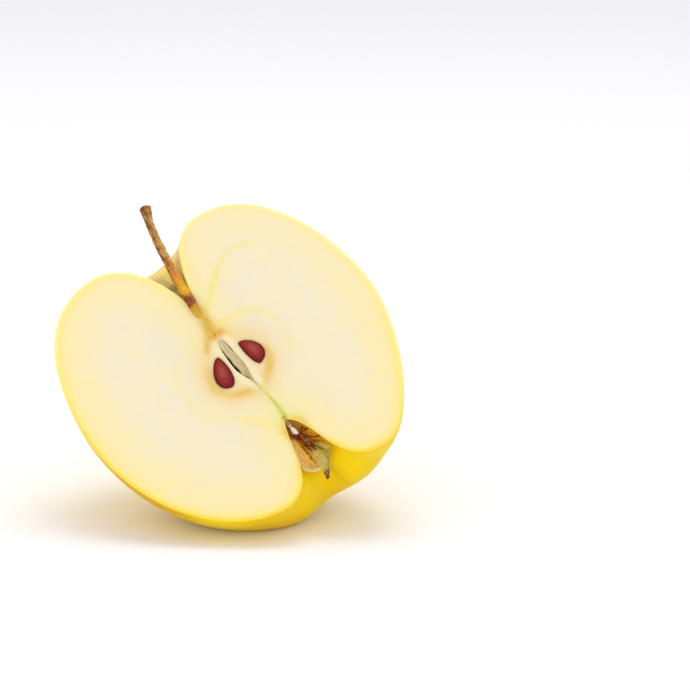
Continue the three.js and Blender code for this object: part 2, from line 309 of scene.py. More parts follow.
# %% [markdown]
# ## The outside of the fruit
#
# Real fruit is never a turned sphere. This one is wider on its left, its shoulders stand at
# different heights, and soft ribs gather at the calyx, the flower end. A sculpted blob
# would do, but the CAD step already worked the form out from a few sizes, so the same
# rule is used here on a finer grid: three meridians, blended round the core, each of
# four curves that run from the stem cavity over the shoulder to the calyx cavity.

# %% Meridians and swellings
CAVITY_FLOOR, CALYX_ROOF = 16.8, -16.9
CAVITY_BEND, CALYX_BEND = 0.45, 0.2
RIGHT_SIDE = dict(
    shoulder=(15.2, 40.0), waist=(39.0, 2.0), foot=(16.7, -36.7),
    fullness=(0.62, 0.51, 0.42, 0.35), stem_cavity=(2.6, 10.0), calyx_cavity=(15.1, 6.4),
)
LEFT_SIDE = dict(
    shoulder=(16.4, 42.0), waist=(40.8, 4.6), foot=(12.6, -35.2),
    fullness=(0.74, 0.39, 0.57, 0.44), stem_cavity=(0.1, 10.8), calyx_cavity=(9.8, 3.3),
)
BACK_SIDE = dict(
    shoulder=(15.5, 39.3), waist=(39.5, 1.4), foot=(17.1, -35.2),
    fullness=(0.6, 0.5, 0.57, 0.46), stem_cavity=(1.4, 9.7), calyx_cavity=(12.6, 5.4),
)
LOBES, LOBE_HEIGHT, LOBE_START, LOBE_FADE, LOBE_INNER_RADIUS = 5, 0.9, 10, 45, 12
MEAN_RADIUS = 40
SWELLINGS = [  # azimuth and latitude in degrees, height in mm, spread in degrees
    (110, -16, 2.8, 40),
    (30, -45, 0.5, 26),
]


def meridian(shoulder, waist, foot, fullness, stem_cavity, calyx_cavity, share):
    """Radius and height at shares from 0, in the stem cavity, to 1, in the calyx cavity."""
    over_shoulder, above_waist, below_waist, around_foot = fullness
    curves = [
        [(0, CAVITY_FLOOR), (stem_cavity[0], mix(CAVITY_FLOOR, shoulder[1], CAVITY_BEND)),
         (shoulder[0] - stem_cavity[1], shoulder[1]), shoulder],
        [shoulder, (mix(shoulder[0], waist[0], over_shoulder), shoulder[1]),
         (waist[0], mix(waist[1], shoulder[1], above_waist)), waist],
        [waist, (waist[0], mix(waist[1], foot[1], below_waist)),
         (mix(foot[0], waist[0], around_foot), foot[1]), foot],
        [foot, (foot[0] - calyx_cavity[0], foot[1]),
         (calyx_cavity[1], mix(CALYX_ROOF, foot[1], CALYX_BEND)), (0, CALYX_ROOF)],
    ]
    scaled = np.clip(share, 0, 1) * len(curves)
    index = np.minimum(scaled.astype(int), len(curves) - 1)
    result = np.zeros(share.shape + (2,))
    for number, curve in enumerate(curves):
        chosen = index == number
        result[chosen] = bezier(curve, (scaled - number)[chosen])
    return result[..., 0], result[..., 1]


def swell(points):
    """Pushes the skin out in a few low swellings."""
    direction = points / np.linalg.norm(points, axis=-1, keepdims=True)
    growth = np.zeros(points.shape[:-1])
    for azimuth, latitude, height, spread in SWELLINGS:
        a, b = math.radians(azimuth), math.radians(latitude)
        centre = [math.cos(b) * math.cos(a), math.cos(b) * math.sin(a), math.sin(b)]
        away = np.arccos(np.clip(direction @ centre, -1, 1)) / math.radians(spread)
        growth += height / MEAN_RADIUS * np.maximum(0, 1 - away**2) ** 2
    return points * (1 + growth)[..., None]


def skin_points(azimuth, share):
    """Points of the skin. Azimuth 0 is the right side of the cut face and pi the left."""
    across, inward = np.cos(azimuth), np.sin(azimuth)
    right, left, back = (meridian(share=share, **side) for side in (RIGHT_SIDE, LEFT_SIDE, BACK_SIDE))
    back_share = inward**2
    side = [np.where(across > 0, r, l) for r, l in zip(right, left)]
    radius = mix(side[0], back[0], back_share)
    height = mix(side[1], back[1], back_share)
    lobe_share = (
        smooth((LOBE_START - height) / LOBE_FADE, 0, 1)
        * np.minimum(radius / LOBE_INNER_RADIUS, 1) * back_share
    )
    lobe = LOBE_HEIGHT * np.cos(LOBES * (azimuth - math.pi / 2)) * lobe_share
    return swell(np.stack([radius * across, radius * inward, height + lobe], -1))


print("across the cut, without swellings:", LEFT_SIDE["waist"][0] + RIGHT_SIDE["waist"][0], "mm")

# %% [markdown]
# ## The skin, with its small unevenness
#
# Skin over firm flesh is smooth but not perfect: it has dents and rises a few tenths of a
# millimetre high. They are put into the mesh, not only into the shading, so that the
# outline shows them too. Where the half rests, the skin is pressed flat.

# %% The grid of the skin
SKIN_STEPS_AROUND, SKIN_STEPS_ALONG = 176, 208
DENT_HEIGHT, DENT_SIZE = 0.22, 13  # mm
RIPPLE_HEIGHT, RIPPLE_SIZE = 0.05, 3.2
CUT_EDGE = 0.25  # the knife leaves the edge of the skin this much rounded
EDGE_REACH = 2.0  # depth over which the first rows of the skin make room for that
CHEEK_START, CHEEK_FULL = 4, 16  # distance from the core where the unevenness sets in

azimuths, shares = np.meshgrid(
    np.linspace(0, math.pi, SKIN_STEPS_AROUND + 1),
    np.linspace(0, 1, SKIN_STEPS_ALONG + 1),
    indexing="ij",
)
skin_grid = skin_points(azimuths, shares)
outward = skin_grid / np.linalg.norm(skin_grid, axis=-1, keepdims=True)
from_axis = np.hypot(skin_grid[..., 0], skin_grid[..., 1])
in_cheek = smooth(from_axis, CHEEK_START, CHEEK_FULL)
height_change = (
    DENT_HEIGHT * bumps(skin_grid, DENT_SIZE) + RIPPLE_HEIGHT * bumps(skin_grid, RIPPLE_SIZE, 1)
)
skin_grid = skin_grid + outward * (height_change * in_cheek)[..., None]
skin_depth = np.maximum(skin_grid[..., 1], 0)
skin_grid[..., 1] = skin_depth + CUT_EDGE * np.clip(1 - skin_depth / EDGE_REACH, 0, 1)
for rim_row in (0, -1):
    skin_grid[rim_row, :, 1] = CUT_EDGE
print("skin grid:", skin_grid.shape[:2], "points")

# %% [markdown]
# ## The outline of the cut, and what opens in it
#
# The knife's cut is a flat face, bounded by the skin. Three hollows open in it: two
# pockets that held the seeds, and the slit of the core's middle chamber. Each is an
# outline worked out from a few sizes: a drop for a seed, a pointed lens for the chamber.

# %% Outlines of the face, the seed pockets and the chamber
SKIN_INSET = 0.32  # thickness of skin that shows at the rim
SEEDS = {  # tip and tail on the cut face, half width, taper, skew, and the side that bulges
    "seed_left": dict(
        tip=(-3.34, 5.94), tail=(-5.25, -2.38), half_width=2.13, taper=0.32, skew=0.28, outward=-1,
    ),
    "seed_right": dict(
        tip=(3.13, 6.01), tail=(4.18, -1.56), half_width=2.07, taper=0.2, skew=0.6, outward=1,
    ),
}
SEED_HALF_DEPTH, SEED_CENTRE_DEPTH = 1.0, 0.2
POCKET_ROOM = 0.05  # between a seed and its pocket
POCKET_POINTS, CHAMBER_POINTS = 72, 120
CHAMBER = dict(top=(-0.1, 9.5), bottom=(0.3, -6.9), bow=-0.5, half_width=1.36)
CHAMBER_DEPTH = 2.3
BLADE_POINT, BLADE_BLUNT = 2.6, 0.3  # powers that shape its lower and its upper end
BLADE_CHANGE = (0.3, 0.75)  # where one gives way to the other


def inset_loop(loop, distance):
    """Moves a clockwise outline inwards."""
    along = np.roll(loop, -1, 0) - np.roll(loop, 1, 0)
    inward = np.stack([along[:, 1], -along[:, 0]], -1)
    return loop + distance * inward / np.linalg.norm(inward, axis=1, keepdims=True)


def seed_frame(tip, tail):
    """Middle, directions and half length of a seed on the cut face."""
    tip, tail = np.array(tip), np.array(tail)
    along = (tip - tail) / np.linalg.norm(tip - tail)
    return (tip + tail) / 2, along, np.array([along[1], -along[0]]), np.linalg.norm(tip - tail) / 2


def seed_width(seed, length, across, ring):
    """Place across a seed: tapered to its tip, and pushed to its outer side."""
    skewed = across + seed["outward"] * seed["skew"] * ring
    return seed["half_width"] * (1 - seed["taper"] * length) * skewed


def drop_outline(seed, growth, count):
    """Outline of a seed, or with growth of the pocket round it."""
    middle, along, sideways, half_length = seed_frame(seed["tip"], seed["tail"])
    angle = circle(count)
    length, across = np.cos(angle), np.sin(angle)
    width = seed_width(seed, length, across, abs(across)) + growth * across
    return middle + np.outer(length * (half_length + growth), along) + np.outer(width, sideways)


def blade(top, bottom, bow, half_width, share):
    """Middle, height and half width of a blade along the core, blunt above and drawn out below."""
    arch = np.sin(math.pi * share)
    power = mix(BLADE_POINT, BLADE_BLUNT, smooth(share, *BLADE_CHANGE))
    middle = mix(bottom[0], top[0], share) + bow * arch
    return middle, mix(bottom[1], top[1], share), half_width * np.maximum(arch, 0) ** power


def blade_outline(sizes, count):
    """Outline of the chamber on the cut face."""
    angle = circle(count)
    middle, height, width = blade(share=(1 + np.cos(angle)) / 2, **sizes)
    return np.stack([middle + np.sign(np.sin(angle)) * width, height], -1)


rim_loop = np.vstack([skin_grid[0][:, [0, 2]], skin_grid[-1][-2:0:-1][:, [0, 2]]])
face_loop = inset_loop(rim_loop, SKIN_INSET)
hollow_loops = {
    name: drop_outline(seed, POCKET_ROOM, POCKET_POINTS) for name, seed in SEEDS.items()
}
hollow_loops["chamber"] = blade_outline(CHAMBER, CHAMBER_POINTS)
print("outlines:", len(face_loop), {name: len(loop) for name, loop in hollow_loops.items()})

# %% [markdown]
# ## Points inside the cut
#
# A face that is only flat and evenly coloured looks like plastic. The cut flesh has low
# relief and soft markings, so it needs points of its own all over: about every half a
# millimetre, and twice as close round the core, where most of the detail is. A
# constrained triangulation joins them, and keeps the outlines as edges.

# %% Fill the face with points and triangles
FACE_SPACING, CORE_SPACING = 0.56, 0.3
CORE_ENDS, CORE_REACH = np.array([(0.0, -14.0), (0.0, 11.0)]), 10.0
RIM_CLEAR, HOLLOW_CLEAR = 0.3, 0.14  # room that the points leave beside the outlines


def is_inside(points, loop):
    """True for each point that lies inside a closed outline."""
    start, end = loop, np.roll(loop, -1, 0)
    found = np.zeros(len(points), bool)
    for (x1, z1), (x2, z2) in zip(start, end):
        if z1 == z2:
            continue
        crosses = (points[:, 1] < z1) != (points[:, 1] < z2)
        where = x1 + (points[:, 1] - z1) * (x2 - x1) / (z2 - z1)
        found ^= crosses & (points[:, 0] < where)
    return found


def distance_to(points, line, closed=False):
    """Distance of each point from a line of points."""
    ends = np.roll(line, -1, 0) if closed else line[1:]
    starts = line if closed else line[:-1]
    nearest = np.full(len(points), np.inf)
    for a, b in zip(starts, ends):
        span = b - a
        share = np.clip((points - a) @ span / max(span @ span, 1e-12), 0, 1)
        nearest = np.minimum(nearest, np.linalg.norm(points - a - share[:, None] * span, axis=1))
    return nearest


def even_points(low, high, spacing):
    """Points in staggered rows that fill a rectangle evenly."""
    rows = np.arange(low[1], high[1], spacing * math.sqrt(0.75))
    columns = np.arange(low[0], high[0], spacing)
    x = columns[None, :] + (np.arange(len(rows)) % 2)[:, None] * spacing / 2
    z = np.broadcast_to(rows[:, None], x.shape)
    return np.stack([x.ravel(), z.ravel()], -1)


low, high = rim_loop.min(0), rim_loop.max(0)
coarse = even_points(low, high, FACE_SPACING)
fine = even_points(CORE_ENDS[0] - CORE_REACH, CORE_ENDS[1] + CORE_REACH, CORE_SPACING)
from_core = [distance_to(points, CORE_ENDS) for points in (coarse, fine)]
candidates = np.vstack([coarse[from_core[0] >= CORE_REACH], fine[from_core[1] < CORE_REACH]])
keep = is_inside(candidates, face_loop) & (distance_to(candidates, face_loop, True) > RIM_CLEAR)
for loop in hollow_loops.values():
    keep &= ~is_inside(candidates, loop) & (distance_to(candidates, loop, True) > HOLLOW_CLEAR)

loops = [face_loop, *hollow_loops.values()]
loop_starts = np.cumsum([0] + [len(loop) for loop in loops])
edges = [
    (int(first + i), int(first + (i + 1) % len(loop)))
    for first, loop in zip(loop_starts, loops) for i in range(len(loop))
]
flat_points = np.vstack([*loops, candidates[keep]])
made = geometry.delaunay_2d_cdt([Vector(p) for p in flat_points], edges, [], 0, 1e-6)
face_points = np.array([tuple(p) for p in made[0]])
triangles = np.array(made[2])
centres = face_points[triangles].mean(1)
kept = is_inside(centres, face_loop)
for loop in hollow_loops.values():
    kept &= ~is_inside(centres, loop)
triangles = triangles[kept]
print("cut face:", len(face_points), "points and", len(triangles), "triangles")

# %% [markdown]
# ## Markings of the cut flesh
#
# What the eye reads as fruit flesh is mostly soft marks in known places: the ring of the
# core line round the seeds, in a yellower halo; ivory bands beside the chamber; veins that
# run from the stem towards the shoulders, and whiter flesh between them; a green thread
# from the core down to the calyx; and a yellower margin under the skin. Their places are
# short lines, given on the cut face in millimetres, as x and z.

# %% Where the marks are
CORE_RING = [  # the brownish line close round both seeds
    (-0.9, 10.6), (-3.4, 8.7), (-5.8, 6.6), (-7.4, 4.0), (-8.4, 0.9), (-8.0, -2.0), (-6.3, -4.1),
    (-4.2, -5.1), (-2.0, -5.9), (0.1, -6.9), (2.4, -5.7), (4.2, -4.6), (5.8, -3.0), (6.9, -1.1),
    (7.2, 1.3), (6.8, 3.9), (5.5, 6.3), (3.9, 7.0), (1.9, 9.4),
]
CORE_RING_WIDTH = 1.25
RING_STRENGTH = [  # places where the line stands out or all but fades, and how far that reaches
    ((6.6, 6.2), -0.9, 4.6), ((-4.5, 8.2), -0.75, 3.4), ((6.3, -2.0), 0.75, 3.2),
    ((-3.6, -5.4), 0.5, 2.6), ((-7.6, 1.4), 0.25, 3.4),
]
RING_BASE_STRENGTH = 0.62
HALO_WIDTH = 3.4  # of the yellower flesh on both sides of the line
CORE_MIDDLE, CORE_ZONE = (-0.5, 2.0), 14.0  # the flesh round the core is a shade darker
VEINS = [  # places of a line each, its width and its strength
    ([(1.7, 17.4), (5.9, 21.0), (10.1, 24.6)], 0.95, 0.95),
    ([(10.1, 24.6), (13.6, 26.7), (16.8, 27.3), (21.7, 26.0)], 0.65, 0.75),
    ([(0.0, 14.3), (1.6, 13.4), (3.4, 12.9)], 0.95, 1.0),
    ([(3.2, 12.9), (6.7, 12.6), (9.8, 11.8), (12.3, 10.2)], 0.85, 0.6),
    ([(12.3, 10.2), (13.8, 7.3), (14.1, 3.7), (13.4, -0.5), (12.0, -4.0)], 1.1, 0.35),
    ([(-3.7, 10.5), (-7.4, 11.7), (-11.7, 10.0), (-14.6, 7.3), (-15.7, 3.3)], 1.3, 0.3),
    ([(-15.7, 3.3), (-15.7, -1.7), (-14.1, -5.6), (-8.7, -10.4)], 1.5, 0.3),
    ([(-8.7, -10.4), (-5.4, -13.3), (-2.8, -16.6)], 1.0, 0.65),
]
PALE_PLACES = [  # where the flesh is whiter, and how far
    ((7.7, -19.9), 5.5), ((-6.0, -16.4), 5.0), ((8.4, 17.3), 4.5), ((-9.5, 15.0), 4.5),
    ((7.0, -13.8), 4.0), ((-9.1, 19.8), 4.0), ((8.4, 8.6), 3.2),
]
GREEN_THREAD = [(0.2, -6.5), (0.7, -10.0), (0.9, -13.5), (0.2, -16.9)]
GREEN_TIP, GREEN_TIP_WIDTH = (0.1, -16.5), 0.55  # where the thread meets the calyx cavity
STEM_TRACE = [(0.5, 22.0), (0.4, 18.5), (0.0, 14.5), (-0.2, 11.6)]
STEM_TRACE_WIDTH = 1.8
SIDE_TRACE, SIDE_TRACE_WIDTH = [(0.6, 15.8), (-1.4, 12.8), (-2.9, 10.3), (-4.3, 9.0)], 0.85
STEM_ROOT_REACH = 2.2  # the yellow margin stops this far from the stem's root
ORANGE_BAR, ORANGE_WIDTH = [(-0.5, 11.3), (1.5, 10.9)], 1.05
ORANGE_END_WIDTH = 0.9  # of its yellow and brown left end
BAND_PLACE, BAND_WIDTH = 0.95, 0.85  # ivory bands beside the chamber
print("veins:", len(VEINS), "and whiter places:", len(PALE_PLACES))

# %% [markdown]
# ## Marks as numbers
#
# Each mark is a smooth function of the distance from its line: 1 on the line, and almost 0
# at twice its width. Every vertex of the cut stores one such number for each mark, and the
# material turns them into colour. A painted image could do the same, but numbers stay
# smooth at any size, and they follow the mesh.

# %% Distance from a line, and lines that waver
WAVER, WAVER_SIZE = 0.35, 2.6  # mm by which a mark's line wavers, and how slowly


def curve_line(points, count=24):
    """So many points of the curve that four points give."""
    return bezier(points, np.linspace(0, 1, count))


def soft(distance, width):
    """1 on the line, and almost 0 at twice the width from it."""
    return np.exp(-((distance / width) ** 2))


def near(points, centre, reach):
    """1 at a place on the cut face, and almost 0 at twice the reach from it."""
    return soft(np.linalg.norm(points - centre, axis=1), reach)


across_face, height = face_points.T
face_flat = np.insert(face_points, 1, 0, axis=1)
waver = np.stack([bumps(face_flat, WAVER_SIZE, seed) for seed in (2, 3)], -1)
uneven_points = face_points + WAVER * waver
print("the ring wavers by at most", round(WAVER * float(abs(waver).max()), 2), "mm")

# %% [markdown]
# ## How strong each mark is
#
# The core's ring stands out in places and fades in others. Bands, thread and the amber
# margin at the calyx begin and end at heights of their own. So each mark's strength is
# worked out first, and then multiplied with the softness of its line.

# %% Marks as numbers on the vertices
BANDS_START, BANDS_END = (-9, -4), (9, 13)  # heights over which the bands appear and fade
NEAR_CALYX = (-19, -8)  # heights over which the green widens, from below
THREAD_START, THREAD_FULL = (5, 8), (7, 12)  # how far below the middle it appears
THREAD_WIDTH, THREAD_GROWTH = 0.35, 0.35
GREEN_WIDTH, GREEN_GROWTH = 1.3, 2.4  # of the pale green on both sides of the thread
CALYX_SIDES, CALYX_TOP = (5, 9), (-23, -18.5)
AMBER_START = (-20, -15)
AMBER_WIDTH, AMBER_STRENGTH = (0.8, 1.4), (0.45, 1)  # low on the cavity's wall, and at its top
PALE_WALL_END = (25, 30)
SEED_EDGE_WIDTH = 0.42

ring_loop = route(CORE_RING + CORE_RING[:1], 120)
ring_side = np.where(is_inside(uneven_points, ring_loop), -1, 1)
ring_gap = ring_side * distance_to(uneven_points, ring_loop, True)
ring_strength = np.full(len(face_points), RING_BASE_STRENGTH)
for centre, change, reach in RING_STRENGTH:
    ring_strength += change * near(face_points, centre, reach)
chamber_gap = distance_to(face_points, hollow_loops["chamber"], True)
seed_gap = np.minimum(*[
    distance_to(face_points, drop_outline(seed, 0, 60), True) for seed in SEEDS.values()
])
along_core = smooth(height, *BANDS_START) * (1 - smooth(height, *BANDS_END))
vein_mark = np.zeros(len(face_points))
for points, width, strength in VEINS:
    gap = distance_to(face_points, route(points, 40))
    vein_mark = np.maximum(vein_mark, strength * soft(gap, width))
pale_mark = np.zeros(len(face_points))
for centre, reach in PALE_PLACES:
    pale_mark = np.maximum(pale_mark, near(face_points, centre, reach))
thread_gap = distance_to(face_points, curve_line(GREEN_THREAD))
calyx_near = 1 - smooth(height, *NEAR_CALYX)
below_core = smooth(-height, *THREAD_START)
thread_strength = mix(0.35, 1, smooth(-height, *THREAD_FULL)) * below_core
green_strength = (0.45 + 0.55 * calyx_near) * below_core
rim_gap = distance_to(face_points, rim_loop, True)
at_stem = soft(distance_to(face_points, curve_line(STEM_TRACE)), STEM_ROOT_REACH)
by_calyx = 1 - smooth(abs(across_face), *CALYX_SIDES)
calyx_top = smooth(height, *CALYX_TOP)
amber_strength = by_calyx * (1 - smooth(height, *AMBER_START)) * mix(*AMBER_STRENGTH, calyx_top)
pale_wall = by_calyx * (1 - calyx_top) * (1 - smooth(-height, *PALE_WALL_END))
marks = {
    "rim": rim_gap + 4 * at_stem + 2 * pale_wall,
    "pale": pale_mark,
    "halo": soft(ring_gap, HALO_WIDTH),
    "core_ring": soft(ring_gap, CORE_RING_WIDTH) * np.clip(ring_strength, 0.05, 1),
    "middle": near(face_points, CORE_MIDDLE, CORE_ZONE),
    "core_inside": 1 - smooth(ring_gap, -1.5, 0.5),
    "band": soft(chamber_gap - BAND_PLACE, BAND_WIDTH) * along_core,
    "seed_edge": soft(seed_gap, SEED_EDGE_WIDTH),
    "vein": vein_mark,
    "thread": soft(thread_gap, THREAD_WIDTH + THREAD_GROWTH * calyx_near) * thread_strength,
    "green": soft(thread_gap, GREEN_WIDTH + GREEN_GROWTH * calyx_near) * green_strength,
    "trace": soft(distance_to(uneven_points, curve_line(STEM_TRACE)), STEM_TRACE_WIDTH),
    "side_trace": soft(distance_to(uneven_points, curve_line(SIDE_TRACE)), SIDE_TRACE_WIDTH),
    "orange": soft(distance_to(uneven_points, np.array(ORANGE_BAR)), ORANGE_WIDTH),
    "amber": soft(rim_gap, mix(*AMBER_WIDTH, calyx_top)) * amber_strength,
    "bar_left": near(face_points, ORANGE_BAR[0], ORANGE_END_WIDTH),
    "green_tip": near(face_points, GREEN_TIP, GREEN_TIP_WIDTH),
}
print("marks on the cut:", ", ".join(marks))

# %% [markdown]
# ## Joining skin, face and hollows into one half
#
# The face gets its low relief: bands, veins and threads stand up by up to a tenth of a
# millimetre, the core inside its ring dips, and the knife left long shallow waves. Each
# hollow is a bowl of rings that sink from its outline. A narrow strip joins the face to
# the skin, and welding the points that coincide closes the whole.

# %% Build the half
WAVE_HEIGHT, WAVE_SIZE = 0.1, 11
BOWL_RINGS = 10
BOWL_DEPTHS = {"seed_left": 1.75, "seed_right": 1.75, "chamber": CHAMBER_DEPTH}
RELIEF = {  # mm by which each mark sinks into the cut, or stands up from it
    "core_inside": 0.1, "band": -0.12, "seed_edge": -0.1, "vein": -0.03, "thread": -0.06,
    "core_ring": -0.05,
}


def bowl(loop, depth, offset):
    """Points and faces of a hollow that sinks from its outline."""
    centre = loop.mean(0)
    rings = np.sin(np.linspace(math.pi / 2, 0, BOWL_RINGS + 1))
    points = [
        np.insert(centre + ring * (loop - centre), 1, depth * math.sqrt(max(0, 1 - ring**2)), axis=1)
        for ring in rings
    ]
    return np.vstack(points), grid_faces(BOWL_RINGS + 1, len(loop), True, offset)


relief = WAVE_HEIGHT * bumps(face_flat, WAVE_SIZE, 4)
for name, depth in RELIEF.items():
    relief += depth * marks[name]
relief *= smooth(rim_gap, SKIN_INSET, 2) * smooth(np.minimum(seed_gap, chamber_gap) + 0.1, 0, 0.5)
face_3d = np.insert(face_points, 1, relief, axis=1)

rows, columns = skin_grid.shape[:2]
skin_flat = skin_grid.reshape(-1, 3)
skin_faces = [face[::-1] for face in grid_faces(rows, columns)]
first_of_last = (rows - 1) * columns
rim_index = list(range(columns)) + [first_of_last + i for i in range(columns - 2, 0, -1)]
face_offset = len(skin_flat)
strip_faces = [
    (rim_index[i], rim_index[(i + 1) % len(rim_index)],
     face_offset + (i + 1) % len(rim_index), face_offset + i)
    for i in range(len(rim_index))
]
cut_faces = [tuple(int(face_offset + i) for i in triangle) for triangle in triangles]
all_points = [skin_flat, face_3d]
bowl_faces = []
offset = face_offset + len(face_3d)
for name, loop in hollow_loops.items():
    points, faces = bowl(loop, BOWL_DEPTHS[name], offset)
    all_points.append(points)
    bowl_faces += faces
    offset += len(points)

half = new_piece(
    "cut_half", np.vstack(all_points), skin_faces + strip_faces + cut_faces + bowl_faces
)
print("half:", len(half.data.vertices), "points and", len(half.data.polygons), "faces")

# %% [markdown]
# ## Numbers for the materials, the flat spot and the weld
#
# The marks go on the vertices before the weld, which keeps them. The skin gets a UV map
# that follows the fruit: u runs round the core and v along the meridian, so that streaks
# can run from the stem to the calyx as they do on the real thing. Points below the floor
# are pressed up to it, with a soft edge.

# %% Store the marks and press the flat spot
PRESS_SOFTNESS, PRESS_REACH = 0.25 * MM, 4 * MM  # only points below that height move
NOT_SKIN = 2.0  # what the meridian says off the skin
HALF_WELD = 0.004  # mm

vertex_count = len(half.data.vertices)
for name, values in marks.items():
    stored = np.zeros(vertex_count)
    stored[face_offset : face_offset + len(values)] = values
    add_values(half, name, stored)
skin_share = np.full(vertex_count, NOT_SKIN)
skin_share[:face_offset] = 4 * shares.ravel()
add_values(half, "meridian", skin_share)
depth_from_cut = np.zeros(vertex_count)
depth_from_cut[:face_offset] = skin_grid[..., 1].ravel()
depth_from_cut[face_offset:] = np.vstack(all_points[1:])[:, 1]
add_values(half, "cut_depth", depth_from_cut)

uv = half.data.uv_layers.new(name="skin")
corner_vertices = np.zeros(len(half.data.loops), int)
half.data.loops.foreach_get("vertex_index", corner_vertices)
vertex_uv = np.zeros((vertex_count, 2))
vertex_uv[:face_offset] = np.stack([azimuths.ravel() / math.pi, shares.ravel()], -1)
uv.data.foreach_set("uv", vertex_uv[corner_vertices].astype(np.float32).ravel())

face_counts = [len(skin_faces), len(strip_faces) + len(cut_faces), len(bowl_faces)]
finish_of_face = np.repeat(np.arange(3), face_counts).astype(np.int32)
half.data.polygons.foreach_set("material_index", finish_of_face)

world = np.zeros(vertex_count * 3)
half.data.vertices.foreach_get("co", world)
world = world.reshape(-1, 3)
pressed = (world[:, 2] + np.sqrt(world[:, 2] ** 2 + PRESS_SOFTNESS**2)) / 2
world[:, 2] = np.where(world[:, 2] < PRESS_REACH, pressed, world[:, 2])
half.data.vertices.foreach_set("co", world.ravel())
weld_points(half, HALF_WELD)
print("flat spot pressed,", len(half.data.vertices), "points left after the weld")

# %% [markdown]
# ## A crisp edge where the knife went
#
# Smooth shading would blur the face into the skin. The edges between two finishes are
# marked sharp, so that light breaks there as it does on a fresh cut.

# %% Mark the cut's edges sharp
SHARP_ANGLE = math.radians(32)

half.data.set_sharp_from_angle(angle=SHARP_ANGLE)
sharp_count = sum(1 for edge in half.data.edges if edge.use_edge_sharp)
print("sharp edges:", sharp_count)

# %% [markdown]
# ## Waxy yellow skin
#
# The skin is a thin waxy cuticle over coloured cells: a faint gloss over a slightly
# translucent yellow. It is pale beside the cut, golden at the flower end, amber in the
# calyx cavity, and rusty with cork where it folds into the stem cavity. Each zone is a
# soft step in one of three measures: the place along the meridian, the place round the
# core, and the depth behind the cut.

# %% Colours and zones of the skin
SKIN_GOLD = "#eecb00"
SKIN_PALE = "#f5d816"
SKIN_WARM = "#ecbc00"
SKIN_GREENISH = "#e4cd14"
SKIN_BRIGHT = "#fde008"  # bands near the flower end
SKIN_OLIVE = "#cfa40a"
SKIN_SHADED = "#d8a400"  # painted shade: a deeper gold on the left flank, low beside the cut
SKIN_EDGE = "#f3e672"  # thin skin beside the cut, with light behind it
CAVITY_PALE = "#fbe496"
RUSSET_TAN = "#b08c50"
RUSSET = "#8a6420"
RUSSET_DARK = "#4e3510"
AMBER = "#f4b41c"
AMBER_DARK = "#9c5410"
CALYX_OLIVE = "#c9a21e"
# painted shade on the roof of the calyx cavity, in olive brown
ROOF_SHADE_OLIVE = "#ac7818"
ROOF_PALE = "#b49a3c"
SKIN_ROUGHNESS = 0.4
WAX_IOR = 1.4
WAX_SHINE = 0.1  # thin wax shines much less than a varnish
SKIN_GLOW, SKIN_GLOW_DEPTH = (1.0, 0.7, 0.1), 1.5 * MM  # how far red, green and blue light spreads

SKIN_ZONES = {  # the measure, and where in it the zone begins and is full
    "cavity": ("meridian", 0.98, 0.62),  # the stem cavity, from its edge downwards
    "deep_cavity": ("meridian", 0.75, 0.3),
    "past_waist": ("meridian", 1.7, 2.1),
    "before_foot": ("meridian", 2.6, 2.3),
    "calyx_rim": ("meridian", 2.7, 3.4),
    "calyx": ("meridian", 3.35, 3.62),
    "calyx_roof": ("meridian", 3.72, 3.86),
    "beside_cut": ("cut_depth", 2.6, 0.2),
    "near_cut": ("cut_depth", 13.0, 3.0),
    "to_left": ("round_core", 0.6, 0.85),
}

skin, tree, shader = new_material("waxy_yellow_skin")
on_skin = add_node(tree, "ShaderNodeUVMap", uv_map="skin")
measures = {
    name: add_node(tree, "ShaderNodeAttribute", attribute_name=name).outputs["Fac"]
    for name in ("meridian", "cut_depth")
}
measures["round_core"] = add_node(tree, "ShaderNodeSeparateXYZ", {0: on_skin})
zones = {}
for name, (measure, begins, full) in SKIN_ZONES.items():
    zones[name] = add_node(tree, "ShaderNodeMapRange", {
        "Value": measures[measure], "From Min": begins, "From Max": full,
    }, interpolation_type="SMOOTHSTEP")
painted_shade_left_low = product(tree, zones["to_left"], zones["past_waist"], zones["before_foot"])
edge_strength = add_node(tree, "ShaderNodeMapRange", {
    "Value": measures["meridian"], "From Min": 1.6, "From Max": 2.1, "To Min": 0.6, "To Max": 0.0,
})
print("zones of the skin:", ", ".join(zones))

# %% [markdown]
# ## Painting the skin
#
# The paints go on from the widest to the smallest. Streaks and bands use the UV map,
# stretched far round the core and little along it, so that they run from the stem to the
# calyx and down both funnels, as they do on the real fruit. Patches and specks are
# measured in millimetres.

